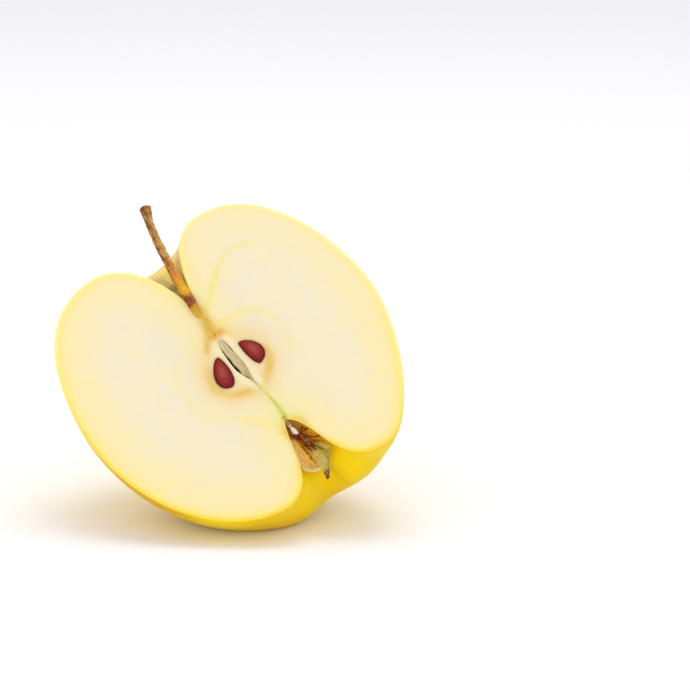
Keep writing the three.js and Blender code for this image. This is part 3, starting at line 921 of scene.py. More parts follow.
# %% Material of the skin
place = fruit_place(tree)
streaks = spots(tree, on_skin, 1, detail=4, low=0.42, high=0.6, stretch=(16, 9, 1))
fine_streaks = spots(tree, on_skin, 1, detail=4, low=0.48, high=0.62, stretch=(60, 24, 1))
specks = spots(tree, place, 0.7, detail=2, low=0.56, high=0.64)
russet_patches = spots(tree, place, 5, detail=2, low=0.42, high=0.58)
bands = spots(tree, on_skin, 1, detail=3, low=0.42, high=0.62, stretch=(4, 1.2, 1))
dark_bands = spots(tree, on_skin, 1, detail=3, low=0.52, high=0.7, stretch=(6, 1.6, 4))
colour = paint(tree, linear(SKIN_GOLD), [
    (spots(tree, place, 16, low=0.45, high=0.7), SKIN_PALE),
    (spots(tree, place, 22, low=0.5, high=0.7), 0.6, SKIN_WARM),
    (spots(tree, place, 5, detail=3, low=0.5, high=0.8), 0.35, SKIN_GREENISH),
    (bands, zones["calyx_rim"], 0.35, SKIN_BRIGHT),
    (dark_bands, zones["calyx_rim"], 0.65, SKIN_OLIVE),
    (zones["near_cut"], zones["calyx_rim"], 0.15, SKIN_BRIGHT),
    # painted shade on the left flank, low beside the cut
    (zones["near_cut"], painted_shade_left_low, 0.85, SKIN_SHADED),
    (zones["cavity"], 0.75, CAVITY_PALE),
    (zones["deep_cavity"], russet_patches, 0.7, RUSSET_TAN),
    (zones["deep_cavity"], streaks, 0.6, RUSSET),
    (zones["deep_cavity"], zones["deep_cavity"], fine_streaks, 0.9, RUSSET_DARK),
    (zones["beside_cut"], edge_strength, SKIN_EDGE),
    (zones["calyx"], spots(tree, place, 2.4, low=0.35, high=0.6), CALYX_OLIVE),
    (zones["calyx"], AMBER),
    (zones["calyx"], fine_streaks, 0.4, AMBER_DARK),
    (zones["calyx"], specks, 0.6, AMBER_DARK),
    # painted shade on the roof of the calyx cavity
    (zones["calyx_roof"], 0.9, ROOF_SHADE_OLIVE),
    (zones["calyx_roof"], specks, 0.6, ROOF_PALE),
])
pores = grainy(tree, place, size=0.45, detail=2.0, strength=0.12, height=0.1)
fill_sockets(tree, shader, {
    "Base Color": colour, "Roughness": SKIN_ROUGHNESS, "IOR": WAX_IOR,
    "Specular IOR Level": WAX_SHINE, "Subsurface Weight": 0.3,
    "Subsurface Radius": SKIN_GLOW, "Subsurface Scale": SKIN_GLOW_DEPTH, "Normal": pores,
})
print("material:", skin.name, "with", len(tree.nodes), "nodes")

# %% [markdown]
# ## Moist cream flesh
#
# Cut flesh is a wet foam of pale cells. Light goes a few millimetres in and comes out
# warm, which is what subsurface scattering gives, and the film of juice adds a soft
# gloss. Its colours follow the marks, the distance from the skin, and the height above
# the floor: lower down, the flesh is yellower.

# %% Colours of the flesh, and where it changes
FLESH = "#f0e4c1"
FLESH_WHITE = "#ece2cb"
FLESH_GREY = "#e6dfd2"
FLESH_YELLOW = "#f4e4a8"
FLESH_DEEP = "#ecddb2"
UNDER_SKIN = "#f5e276"
SKIN_LINE = "#f5ec98"
SKIN_LINE_LOW = "#f0d23a"  # golden where no light comes from behind
CORE_TAN = "#e0b94c"
CORE_HALO = "#ecd18c"
CORE_BLUSH = "#efd9a8"
IVORY = "#f1e4b8"
SEED_SHADOW = "#c98a50"
VEIN_YELLOW = "#efdf74"
THREAD_GREEN = "#c6c022"
PALE_GREEN = "#e2e294"
TIP_GREEN = "#75801c"
TRACE_TAN = "#d4ac34"
TRACE_ORANGE = "#e8a626"
TRACE_YELLOW = "#ecb02e"
TRACE_BROWN = "#a05c18"
RIM_AMBER = "#e4b010"
JUICE_ROUGHNESS, JUICE_IOR = 0.42, 1.38
FLESH_GLOW, FLESH_GLOW_DEPTH = (1.0, 0.75, 0.4), 2.5 * MM
RIM_ZONES = {"line": (1.2, 0.3), "margin": (3.6, 0.5), "outer": (15.0, 3.5)}  # mm from the skin
# heights above the floor where each begins and is full, then its least and most
LOW_RIM = (45 * MM, 20 * MM, 0.0, 1.0)  # the rim turns golden
YELLOWER_BELOW = (75 * MM, 40 * MM, 0.4, 0.85)  # the flesh yellows

flesh, tree, shader = new_material("moist_cream_flesh")
place = fruit_place(tree)
mark = {
    name: add_node(tree, "ShaderNodeAttribute", attribute_name=name).outputs["Fac"] for name in marks
}
rim_zones = {}
for name, (begins, full) in RIM_ZONES.items():
    rim_zones[name] = add_node(tree, "ShaderNodeMapRange", {
        "Value": mark["rim"], "From Min": begins, "From Max": full,
    }, interpolation_type="SMOOTHSTEP")
above_floor = add_node(tree, "ShaderNodeSeparateXYZ", {
    0: add_node(tree, "ShaderNodeTexCoord").outputs["Object"],
}).outputs[2]
low_rim, yellower_below = [
    add_node(tree, "ShaderNodeMapRange", {
        "Value": above_floor, "From Min": begins, "From Max": full, "To Min": least, "To Max": most,
    }, interpolation_type="SMOOTHSTEP")
    for begins, full, least, most in (LOW_RIM, YELLOWER_BELOW)
]
plain_rim = add_node(tree, "ShaderNodeMath", {0: 1.0, 1: mark["amber"]}, operation="SUBTRACT")
print("marks that the flesh reads:", len(mark))

# %% [markdown]
# ## Painting the flesh
#
# The paints go from the broad to the fine: the mottled cream and the riper rim, then the
# core with its halo, ring and bands, then veins, thread and traces, and last the line of
# skin round the cut. The film of juice is uneven, so the roughness varies with the grain.

# %% Material of the cut flesh
mottle = spots(tree, place, 7, detail=3, low=0.38, high=0.68)
flecks = spots(tree, place, 2.3, detail=1, low=0.58, high=0.76, stretch=(0.6, 1, 1))
grain = spots(tree, place, 1.1, detail=3, low=0.4, high=0.7)
ring_breaks = spots(tree, place, 5, detail=2, low=0.0, high=0.5)
trace_breaks = spots(tree, place, 3, low=0.2, high=0.5)
bar_specks = spots(tree, place, 0.5, low=0.52, high=0.58)
colour = paint(tree, linear(FLESH), [
    (mottle, 0.8, FLESH_WHITE),
    (mark["pale"], 0.9, FLESH_GREY),
    (rim_zones["outer"], yellower_below, FLESH_YELLOW),
    (flecks, 0.25, UNDER_SKIN),
    (rim_zones["margin"], yellower_below, 0.9, UNDER_SKIN),
    (mark["middle"], 0.45, FLESH_DEEP),
    (mark["halo"], 0.75, CORE_HALO),
    (mark["core_inside"], 0.75, CORE_BLUSH),
    (mark["core_ring"], ring_breaks, 0.85, CORE_TAN),
    (mark["band"], 0.95, IVORY),
    (mark["seed_edge"], 0.55, SEED_SHADOW),
    (mark["vein"], 0.75, VEIN_YELLOW),
    (mark["green"], 0.85, PALE_GREEN),
    (mark["thread"], 0.85, THREAD_GREEN),
    (mark["trace"], 0.9, TRACE_TAN),
    (mark["side_trace"], trace_breaks, 0.75, TRACE_TAN),
    (mark["orange"], 0.95, TRACE_ORANGE),
    (mark["bar_left"], 0.8, TRACE_YELLOW),
    (mark["bar_left"], bar_specks, 0.8, TRACE_BROWN),
    (mark["amber"], 0.95, RIM_AMBER),
    (grain, 0.12, FLESH_WHITE),
    (rim_zones["line"], plain_rim, plain_rim, 0.75, SKIN_LINE),
    (rim_zones["line"], plain_rim, low_rim, 0.9, SKIN_LINE_LOW),
    (mark["green_tip"], 0.9, TIP_GREEN),
])
cells = grainy(tree, place, size=0.55, detail=3.0, strength=0.35, height=0.12)
wet = add_node(tree, "ShaderNodeMapRange", {
    "Value": grain, "To Min": JUICE_ROUGHNESS - 0.06, "To Max": JUICE_ROUGHNESS + 0.12,
})
fill_sockets(tree, shader, {
    "Base Color": colour, "Roughness": wet, "IOR": JUICE_IOR,
    "Subsurface Weight": 0.4, "Subsurface Radius": FLESH_GLOW,
    "Subsurface Scale": FLESH_GLOW_DEPTH, "Normal": cells,
})
print("material:", flesh.name, "with", len(tree.nodes), "nodes")

# %% [markdown]
# ## Lining of the hollows
#
# The pockets and the chamber are lined with a hard, thin, parchment-like layer, browner
# than the flesh. Little light reaches the bottom of the chamber.

# %% Material of the lining
LINING = "#d8a878"
LINING_DARK = "#3a2408"
LINING_ROUGHNESS = 0.45

lining, tree, shader = new_material("hard_core_lining")
place = fruit_place(tree)
depth = add_node(tree, "ShaderNodeAttribute", attribute_name="cut_depth").outputs["Fac"]
deep = add_node(tree, "ShaderNodeMapRange", {"Value": depth, "From Min": 0.1, "From Max": 0.9})
colour = paint(tree, linear(LINING), [
    (spots(tree, place, 1.2, detail=3, low=0.4, high=0.65), 0.4, LINING_DARK),
    (deep, LINING_DARK),
])
fill_sockets(tree, shader, {"Base Color": colour, "Roughness": LINING_ROUGHNESS})
for material in (skin, flesh, lining):
    half.data.materials.append(material)
print("the half has", len(half.data.materials), "finishes")

# %% [markdown]
# ## Seeds
#
# A pip is a hard, smooth, red-brown drop, pointed at the stem end and rounder on its
# outer side. It could be a scaled sphere, but its lopsided drop is what makes it a pip,
# so the sphere's rings are tapered and pushed to the outer side by the CAD rule, with
# fine ridges along it.

# %% The two seeds
SEED_RINGS, SEED_SIDES = 40, 56
SEED_RIDGES, SEED_RIDGE_HEIGHT = 17, 0.018
POLE_WELD = 0.003  # mm, for the points that meet at a closed end


def seed_points(seed):
    """Rings of points from the tip to the tail, and a number from the middle out."""
    middle, along, sideways, half_length = seed_frame(seed["tip"], seed["tail"])
    turn, angle = np.meshgrid(
        np.linspace(0, math.pi, SEED_RINGS), circle(SEED_SIDES), indexing="ij",
    )
    length, ring = np.cos(turn), np.sin(turn)
    across, front = ring * np.cos(angle), ring * np.sin(angle)
    ridges = 1 + SEED_RIDGE_HEIGHT * np.sin(SEED_RIDGES * angle + 2 * length)
    width = seed_width(seed, length, across, ring) * ridges
    flat = middle + (length * half_length)[..., None] * along + width[..., None] * sideways
    depth = SEED_CENTRE_DEPTH - SEED_HALF_DEPTH * front * (1 - seed["taper"] * length) * ridges
    edge = np.hypot(across, 0.9 * length)
    return np.insert(flat, 1, depth, axis=-1).reshape(-1, 3), edge.ravel()


seeds = {}
for name, seed in SEEDS.items():
    points, edge = seed_points(seed)
    faces = [face[::-1] for face in grid_faces(SEED_RINGS, SEED_SIDES, True)]
    seeds[name] = new_piece(f"pip_{name[5:]}", points, faces)
    add_values(seeds[name], "edge", edge)
    weld_points(seeds[name], POLE_WELD)
    print(seeds[name].name, "points:", len(seeds[name].data.vertices))

# %% [markdown]
# ## Material of the seeds
#
# The seed coat is hard and smooth, with a soft sheen. Its wine red gets painted shade at
# its edges, where one looks along the coat, and a painted highlight in the middle, where
# the light falls square on it.

# %% Smooth seed coat
SEED_RED = "#902c2a"
SEED_HIGHLIGHT = "#a84c44"
SEED_DARK = "#66100e"
SEED_ROUGHNESS, SEED_SHINE = 0.5, 0.12
SEED_MIDDLE, SEED_EDGE = (0.6, 0.05), (0.5, 0.95)  # where the painted highlight and the painted edge shade each begin and are full

seed_coat, tree, shader = new_material("polished_seed_coat")
place = fruit_place(tree)
edge_value = add_node(tree, "ShaderNodeAttribute", attribute_name="edge").outputs["Fac"]
highlight_mask, edge_shade_mask = [
    add_node(tree, "ShaderNodeMapRange", {
        "Value": edge_value, "From Min": begins, "From Max": full,
    }, interpolation_type="SMOOTHSTEP")
    for begins, full in (SEED_MIDDLE, SEED_EDGE)
]
# a painted highlight in the middle and painted shade at the edges, over the coat's own dark spots
colour = paint(tree, linear(SEED_RED), [
    (highlight_mask, 0.8, SEED_HIGHLIGHT),
    (spots(tree, place, 0.6, detail=3, low=0.5, high=0.8), 0.4, SEED_DARK),
    (edge_shade_mask, 0.9, SEED_DARK),
])
fill_sockets(tree, shader, {
    "Base Color": colour, "Roughness": SEED_ROUGHNESS, "Specular IOR Level": SEED_SHINE,
})
for piece in seeds.values():
    piece.data.materials.append(seed_coat)
print("material:", seed_coat.name)

# %% [markdown]
# ## The papery wall in the chamber
#
# Between the seeds the knife opened the core's chamber and left one papery wall standing
# in it. It fills the chamber but for two slits on its left, where it has shrunk from the
# flesh, and a crack on its right, and a ridge runs down it. It is made from rings like
# the seeds, whose two sides are set by the widths of those openings.

# %% The papery wall
WALL_RINGS, WALL_SIDES = 90, 48
WALL_HALF_DEPTH, WALL_CENTRE_DEPTH = 0.6, 0.66
WALL_FLATNESS, WALL_END_POINT = 0.5, 0.4  # powers that keep its front flat and its ends full
WALL_ROOT = 0.12  # depth to which the wall is rooted in the flesh, where no gap is open
SLIT, SLIT_ENDS = 0.66, (-1.0, 7.7)  # widest opening on the left, and where it ends
SHORT_SLIT, SHORT_SLIT_ENDS = 0.32, (-3.1, -1.3)
RIGHT_CRACK, RIGHT_CRACK_ENDS = 0.16, (5.0, 9.4)
SLIT_SKEW, SLIT_BLUNT = 0.5, 0.7  # powers: where a slit is widest, and how blunt its ends are
WALL_RIDGE, WALL_RIDGE_PLACE, WALL_RIDGE_WIDTH = 0.25, 0.5, 0.25
FIBRE_HEIGHT, FIBRE_SIZE, FIBRE_STRETCH = 0.035, 0.3, 0.15


def opening(height, width, ends):
    """Width of a slit that is widest low down and narrows to nothing at both ends."""
    place = np.clip((height - ends[0]) / (ends[1] - ends[0]), 0, 1)
    return width * np.sin(math.pi * place**SLIT_SKEW) ** SLIT_BLUNT


def wall_points(sizes):
    """The wall fills its chamber, but for the slits on its left and the crack on its right."""
    turn, angle = np.meshgrid(
        np.linspace(0, math.pi, WALL_RINGS), circle(WALL_SIDES), indexing="ij",
    )
    ring, side = np.sin(turn), np.cos(angle)
    middle, height, reach = blade(share=(1 + np.cos(turn)) / 2, **sizes)
    slit = opening(height, SLIT, SLIT_ENDS) + opening(height, SHORT_SLIT, SHORT_SLIT_ENDS)
    left = -reach - WALL_ROOT + (slit + (slit > 0) * WALL_ROOT) * (1 + 0.1 * np.sin(2.1 * height))
    right = reach + WALL_ROOT - opening(height, RIGHT_CRACK + WALL_ROOT, RIGHT_CRACK_ENDS)
    x = middle + mix(left, np.maximum(left, right), (1 + side) / 2)
    ridge = WALL_RIDGE * soft(side - WALL_RIDGE_PLACE, WALL_RIDGE_WIDTH)
    front = np.sign(np.sin(angle)) * abs(np.sin(angle)) ** WALL_FLATNESS
    depth = (WALL_CENTRE_DEPTH - (WALL_HALF_DEPTH + ridge) * front) * ring**WALL_END_POINT
    points = np.stack([x, depth * ring, height], -1)
    stretched = points * [1, 1, FIBRE_STRETCH]
    points[..., 1] += FIBRE_HEIGHT * bumps(stretched, FIBRE_SIZE, 5) * ring
    return points.reshape(-1, 3), side.ravel()


points, side = wall_points(CHAMBER)
papery_wall = new_piece(
    "papery_wall", points, [face[::-1] for face in grid_faces(WALL_RINGS, WALL_SIDES, True)],
)
add_values(papery_wall, "side", side)
weld_points(papery_wall, POLE_WELD)
print("papery wall points:", len(papery_wall.data.vertices))

# %% [markdown]
# ## Material of the papery wall
#
# It looks like parchment: beige, a little translucent, with fine fibres along the core and
# an olive tint towards its lower end. Beside its ridge it gets painted shade, and the strip
# to the right of that gets painted light.

# %% Parchment
PARCHMENT = "#c9b380"
PARCHMENT_LIGHT = "#dccb9c"
PARCHMENT_OLIVE = "#b09c58"
PARCHMENT_BROWN = "#94783c"
PAINTED_RIDGE_SHADE, SHADE_SIDE, SHADE_WIDTH = "#a08c50", 0.25, 0.22  # painted shade beside the ridge
PARCHMENT_ROUGHNESS = 0.5

parchment, tree, shader = new_material("parchment_core_wall")
place = fruit_place(tree)
height = add_node(tree, "ShaderNodeSeparateXYZ", {0: place}).outputs[2]
low_end = add_node(tree, "ShaderNodeMapRange", {
    "Value": height, "From Min": 4.0, "From Max": -6.0,
}, interpolation_type="SMOOTHSTEP")
fibres = spots(tree, place, 0.22, detail=3, low=0.4, high=0.65, stretch=(1, 1, 0.08))
brown_streaks = spots(tree, place, 0.5, detail=3, low=0.55, high=0.7, stretch=(1, 1, 0.15))
side = add_node(tree, "ShaderNodeAttribute", attribute_name="side").outputs["Fac"]
ridge_shade_mask = add_node(tree, "ShaderNodeMath", {
    0: side, 1: SHADE_SIDE, 2: SHADE_WIDTH,
}, operation="COMPARE")
lit_right_strip = add_node(tree, "ShaderNodeMapRange", {
    "Value": side, "From Min": 0.5, "From Max": 0.8,
}, interpolation_type="SMOOTHSTEP")
colour = paint(tree, linear(PARCHMENT), [
    (fibres, 0.6, PARCHMENT_LIGHT),
    # painted shade beside the ridge, and painted light on the strip to its right
    (ridge_shade_mask, fibres, 0.55, PAINTED_RIDGE_SHADE),
    (lit_right_strip, 0.7, PARCHMENT_LIGHT),
    (low_end, 0.7, PARCHMENT_OLIVE),
    (brown_streaks, 0.5, PARCHMENT_BROWN),
])
fill_sockets(tree, shader, {"Base Color": colour, "Roughness": PARCHMENT_ROUGHNESS})
papery_wall.data.materials.append(parchment)
print("material:", parchment.name)

# %% [markdown]
# ## The stem
#
# A fruit stem is a woody stalk: thin in the middle, thicker where it enters the fruit, and
# flared at the tip, where it broke from the tree. Its bark has fine furrows along it and
# small knobs. A bare tube looks like wire, so the radius gets furrows, knobs and an
# uneven, hollowed end.

# %% The stem's mesh
STEM_ROUTE = [
    (-0.5, 1.7, 15.4), (-0.25, 0.85, 17.4), (0.15, 0.45, 20.0), (0.6, 0.3, 22.8), (1.45, 0.3, 29),
    (3.1, 0.5, 38), (4.85, 0.7, 45), (6.85, 0.8, 49.85),
]
STEM_RADIUS, STEM_BASE_EXTRA, STEM_TIP_EXTRA = 1.0, 0.28, 0.46
STEM_BASE_FADE, STEM_TIP_START = 1.5, 0.88
STEM_TIP_SKEW, STEM_TIP_SIDE = 0.25, 2.4  # the flare is wider on one side
STEM_ROOT_TAPER, STEM_ROOT_END = 0.6, 0.13  # how much thinner the root in the flesh becomes
STEM_RINGS, STEM_SIDES, STEM_END_RINGS = 220, 40, 7
FURROWS, FURROW_HEIGHT = 11, 0.035
KNOB_HEIGHT, KNOB_SIZE = 0.16, 1.5
GRIT_HEIGHT, GRIT_SIZE = 0.08, 0.5
TIP_HOLLOW, TIP_GRIT, TIP_GRIT_SIZE = 0.45, 0.12, 0.6
END_SHARE = 1.08  # what the broken end says for its place along the stem
FINE_WELD = 0.002  # mm, the same for thin pieces


def tube_frames(line):
    """Directions across each point of a line: sideways, and into the flesh."""
    tangent = np.gradient(line, axis=0)
    tangent /= np.linalg.norm(tangent, axis=1, keepdims=True)
    sideways = np.cross([0, 1, 0], tangent)
    sideways /= np.linalg.norm(sideways, axis=1, keepdims=True)
    return tangent, sideways, np.cross(tangent, sideways)


def around(sideways, inward, angle):
    """Directions that point away from a line, at each of its points and each angle."""
    cosine, sine = np.cos(angle)[..., None], np.sin(angle)[..., None]
    return cosine * sideways[:, None] + sine * inward[:, None]


stem_line = route(STEM_ROUTE, STEM_RINGS)
tangent, sideways, inward = tube_frames(stem_line)
share = np.linspace(0, 1, STEM_RINGS)[:, None]
angle = circle(STEM_SIDES)[None, :]
radius = STEM_RADIUS + STEM_BASE_EXTRA * (1 - share) ** STEM_BASE_FADE
radius = radius - STEM_ROOT_TAPER * (1 - smooth(share, 0, STEM_ROOT_END))
flare = 1 + STEM_TIP_SKEW * np.cos(angle + STEM_TIP_SIDE)
radius = radius + STEM_TIP_EXTRA * smooth(share, STEM_TIP_START, 1) * flare
across = around(sideways, inward, angle)
centre_line = np.broadcast_to(stem_line[:, None], across.shape)
bark = centre_line + across * radius[..., None]
furrow = FURROW_HEIGHT * np.sin(FURROWS * angle + 5 * share + 1.5 * bumps(centre_line, 6, 6))
knobs = KNOB_HEIGHT * bumps(bark, KNOB_SIZE, 7) + GRIT_HEIGHT * bumps(bark, GRIT_SIZE, 8)
bark = bark + across * (furrow + knobs)[..., None]
end = bark[-1]
end_middle = end.mean(0)
caps = []
for ring in np.linspace(1, 0, STEM_END_RINGS + 1)[1:]:
    sunk = -TIP_HOLLOW * (1 - ring**2) + TIP_GRIT * bumps(end * (0.3 + ring), TIP_GRIT_SIZE, 9)
    caps.append(mix(end_middle, end, ring) + sunk[:, None] * tangent[-1])
stem_points = np.vstack([bark.reshape(-1, 3), *caps])
stem_shares = np.concatenate([
    np.repeat(share[:, 0], STEM_SIDES), np.full(STEM_SIDES * STEM_END_RINGS, END_SHARE),
])
stem = new_piece(
    "dry_stem", stem_points, grid_faces(STEM_RINGS + STEM_END_RINGS, STEM_SIDES, True),
)
add_values(stem, "along", stem_shares)
add_values(stem, "side", np.tile(np.cos(angle[0]), STEM_RINGS + STEM_END_RINGS))
weld_points(stem, FINE_WELD)
print("stem points:", len(stem.data.vertices))

# %% [markdown]
# ## Material of the stem
#
# Young bark on a fruit stem keeps some of the fruit's colour: yellow near the fruit,
# orange-brown in the middle, dry brown with olive patches at the top, and a dark collar
# where it comes out of the cavity. Its left side gets painted shade, with brown scars, and
# its right side painted light, with pale flakes.

# %% Dry bark
STEM_STOPS = [
    (0.0, "#dfb954"), (0.07, "#dab238"), (0.14, "#cc9a16"), (0.17, "#8e3e10"), (0.225, "#7e2c08"),
    (0.25, "#c88a1c"), (0.285, "#f0b012"), (0.36, "#eaa010"), (0.43, "#cf7f22"), (0.6, "#b87a34"),
    (0.8, "#b0803c"), (0.93, "#96603a"), (1.0, "#5e2c24"),
]
BARK_OLIVE = "#b88c34"
BARK_BROWN = "#6e2e06"
BARK_PALE = "#e6bc74"
STEM_SHADE_SOFTNESS = 0.7  # how softly the side with painted shade gives way to the side with painted light
BARK_ROUGHNESS, BARK_SHINE = 0.7, 0.2

bark_finish, tree, shader = new_material("dry_fruit_bark")
place = fruit_place(tree)
along = add_node(tree, "ShaderNodeAttribute", attribute_name="along").outputs["Fac"]
shaken = add_node(tree, "ShaderNodeTexNoise", {"Vector": place, "Scale": 1 / 1.4, "Detail": 3.0})
shifted = add_node(tree, "ShaderNodeMath", {0: shaken, 1: 0.1, 2: -0.05},
                   operation="MULTIPLY_ADD")
distorted = add_node(tree, "ShaderNodeMath", {0: along, 1: shifted}, operation="ADD")
base = add_node(tree, "ShaderNodeValToRGB", {0: distorted}, stops=STEM_STOPS)
side = add_node(tree, "ShaderNodeAttribute", attribute_name="side").outputs["Fac"]
shaded_side = add_node(tree, "ShaderNodeMapRange", {
    "Value": side, "From Min": STEM_SHADE_SOFTNESS, "From Max": -STEM_SHADE_SOFTNESS,
    "To Min": 0.1, "To Max": 0.9,
}, interpolation_type="SMOOTHSTEP")
lit_side = add_node(tree, "ShaderNodeMath", {0: 1.0, 1: shaded_side}, operation="SUBTRACT")
above_fruit = add_node(tree, "ShaderNodeMapRange", {
    "Value": distorted, "From Min": 0.1, "From Max": 0.17,
})
weathered = product(tree, above_fruit, add_node(tree, "ShaderNodeMapRange", {
    "Value": distorted, "From Min": 0.34, "From Max": 0.5, "To Min": 0.35, "To Max": 1.0,
}))
flakes = spots(tree, place, 0.9, detail=3, low=0.46, high=0.56, stretch=(1, 1, 0.45))
scars = spots(tree, place, 1.2, detail=3, low=0.38, high=0.52, stretch=(1, 1, 0.4))
grains = spots(tree, place, 0.35, detail=2, low=0.6, high=0.66)
colour = paint(tree, base, [
    (spots(tree, place, 2.2, detail=3, low=0.45, high=0.62), 0.5, BARK_OLIVE),
    # pale flakes as painted light on one side, brown scars as painted shade on the other
    (flakes, lit_side, weathered, 0.6, BARK_PALE),
    (scars, shaded_side, weathered, 0.9, BARK_BROWN),
    (grains, above_fruit, 0.6, BARK_PALE),
])
grit = grainy(tree, place, size=0.25, detail=3.0, strength=0.6, height=0.12)
fill_sockets(tree, shader, {
    "Base Color": colour, "Roughness": BARK_ROUGHNESS, "Specular IOR Level": BARK_SHINE,
    "Normal": grit,
})
stem.data.materials.append(bark_finish)
print("material:", bark_finish.name)

# %% [markdown]
# ## The sepals
#
# At the flower end, withered sepals close over the hollow. Each is a thin leaf that
# narrows to a curled tip. A flat triangle would look like paper, so each is a sheet
# wrapped round the core's axis: its line says how far from the axis and how high it runs,
# and each of its edges passes through three directions round the axis. Its surface waves
# more towards its tip, and then gets its thickness.

# %% Sepal sheets
SEPALS = {  # azimuths in degrees of both edges, at the base, the middle and the tip
    "sepal_left": dict(
        right_edge=(110, 97, 88), left_edge=(150, 172, 100), curl=0.2,
        line=[(2.1, -21.6), (3.0, -24.0), (4.0, -26.6), (4.7, -28.7), (4.3, -30.4), (3.2, -31.5)],
    ),
    "sepal_middle": dict(
        right_edge=(50, 40, 95), left_edge=(90, 90, 106), curl=0.5,
        line=[(3.2, -25.6), (4.0, -28.0), (4.1, -30.0), (3.7, -31.5), (3.3, -33.0), (3.1, -34.6)],
    ),
    "sepal_right": dict(
        right_edge=(40, 16, 14), left_edge=(62, 58, 32), curl=0.3,
        line=[(3.5, -25.3), (4.5, -27.0), (4.8, -28.6), (4.5, -29.5)],
    ),
}
SEPAL_ROWS, SEPAL_COLUMNS = 40, 21
SEPAL_THICKNESS = 0.26
WAVE_RISE, CRUMPLE, RAGGED_EDGE = 0.22, 0.2, 0.25  # mm


def through(values, share):
    """A value that passes through three others, at the base, the middle and the tip."""
    base, middle, tip = values
    bend = 2 * (base + tip - 2 * middle)
    return base + (tip - base - bend) * share + bend * share**2


def sepal_sheet(right_edge, left_edge, curl, line):
    """Points of one sheet, how far along it each is, and how far to its left."""
    spine = route(line, SEPAL_ROWS)
    share, side = np.meshgrid(
        np.linspace(0, 1, SEPAL_ROWS), np.linspace(-1, 1, SEPAL_COLUMNS), indexing="ij"
    )
    slope = np.gradient(spine, axis=0)
    slope /= np.linalg.norm(slope, axis=1, keepdims=True)
    outward_r, outward_z = -slope[:, 1:2], slope[:, 0:1]
    rough = np.stack([share * 9, side * 1.6 + left_edge[0], 0 * side], -1)
    lift = WAVE_RISE * share * np.sin(5 * share + 2.5 * side) + CRUMPLE * bumps(rough, 1.0, 10)
    lift -= curl * share * side**2
    radius = spine[:, 0:1] + outward_r * lift
    height = spine[:, 1:2] + outward_z * lift
    turn = mix(through(right_edge, share), through(left_edge, share), (side + 1) / 2)
    ragged = RAGGED_EDGE * bumps(rough, 0.5, 11) * side**2
    angle = np.radians(turn) + ragged / radius
    points = np.stack([radius * np.cos(angle), radius * np.sin(angle), height], -1)
    return points.reshape(-1, 3), share.ravel(), side.ravel()


sepals = {}
for name, sizes in SEPALS.items():
    points, share, side = sepal_sheet(**sizes)
    piece = new_piece(f"dry_{name}", points, grid_faces(SEPAL_ROWS, SEPAL_COLUMNS))
    add_values(piece, "along", share)
    add_values(piece, "side", side)
    thickness = piece.modifiers.new("thickness", "SOLIDIFY")
    thickness.thickness = SEPAL_THICKNESS * MM
    thickness.offset = 0
    rounding = piece.modifiers.new("rounding", "SUBSURF")
    rounding.levels = rounding.render_levels = 1
    apply_modifiers(piece)
    piece.data.shade_smooth()
    sepals[name] = piece
    print(piece.name, "points:", len(piece.data.vertices))

# %% [markdown]
# ## Materials of the sepals
#
# One sepal has dried to straw, one is still green and one has turned olive. They pale or
# darken along their length, and their tips are brown and brittle.

# %% Straw, green and olive leaf
LEAF_COLOURS = {
    "sepal_left": dict(
        finish="straw_dry_sepal", base="#facc86", middle="#f4d490", tip="#e2d48c",
        left="#f6b848", right="#f6bc40", patches="#e6ac48", specks="#7a3a16",
    ),
    "sepal_middle": dict(
        finish="green_downy_sepal", base="#deb23e", middle="#ccbc6e", tip="#6a2c14",
        left="#d6b44c", right="#9a9600", patches="#80741a", specks="#e2d8ac",
    ),
    "sepal_right": dict(
        finish="olive_dry_sepal", base="#f2dc66", middle="#ecd966", tip="#c0a048",
        left="#d0ac3c", right="#c8982a", patches="#d0b440", specks="#6a3412",
    ),
}
LEAF_EDGES = {"left": (0.0, 0.8), "right": (0.3, -0.5)}  # where across the leaf an edge begins, is full
LEAF_ROUGHNESS, LEAF_SHINE = 0.75, 0.2

for name, hues in LEAF_COLOURS.items():
    leaf, tree, shader = new_material(hues["finish"])
    place = fruit_place(tree)
    along = add_node(tree, "ShaderNodeAttribute", attribute_name="along").outputs["Fac"]
    side = add_node(tree, "ShaderNodeAttribute", attribute_name="side").outputs["Fac"]
    shaken = spots(tree, place, 1.0, low=0.3, high=0.7)
    reach = add_node(tree, "ShaderNodeMath", {0: shaken, 1: 0.18, 2: along}, operation="MULTIPLY_ADD")
    aside = add_node(tree, "ShaderNodeMath", {0: shaken, 1: 0.5, 2: side}, operation="MULTIPLY_ADD")
    base = add_node(tree, "ShaderNodeValToRGB", {0: reach}, stops=[
        (0.15, hues["base"]), (0.45, hues["middle"]), (0.78, hues["middle"]), (0.95, hues["tip"]),
    ])
    at_edge = {}
    for edge, (begins, full) in LEAF_EDGES.items():
        at_edge[edge] = add_node(tree, "ShaderNodeMapRange", {
            "Value": aside, "From Min": begins, "From Max": full,
        }, interpolation_type="SMOOTHSTEP")
    not_tip = add_node(tree, "ShaderNodeMapRange", {"Value": reach, "From Min": 0.95, "From Max": 0.75})
    colour = paint(tree, base, [
        (at_edge["left"], not_tip, 0.85, hues["left"]),
        (at_edge["right"], not_tip, 0.95, hues["right"]),
        (spots(tree, place, 1.1, detail=3, low=0.52, high=0.64), 0.5, hues["patches"]),
        (spots(tree, place, 0.35, detail=2, low=0.6, high=0.68), 0.6, hues["specks"]),
    ])
    fill_sockets(tree, shader, {
        "Base Color": colour, "Roughness": LEAF_ROUGHNESS, "Specular IOR Level": LEAF_SHINE,
    })
    sepals[name].data.materials.append(leaf)
    print("material:", leaf.name)

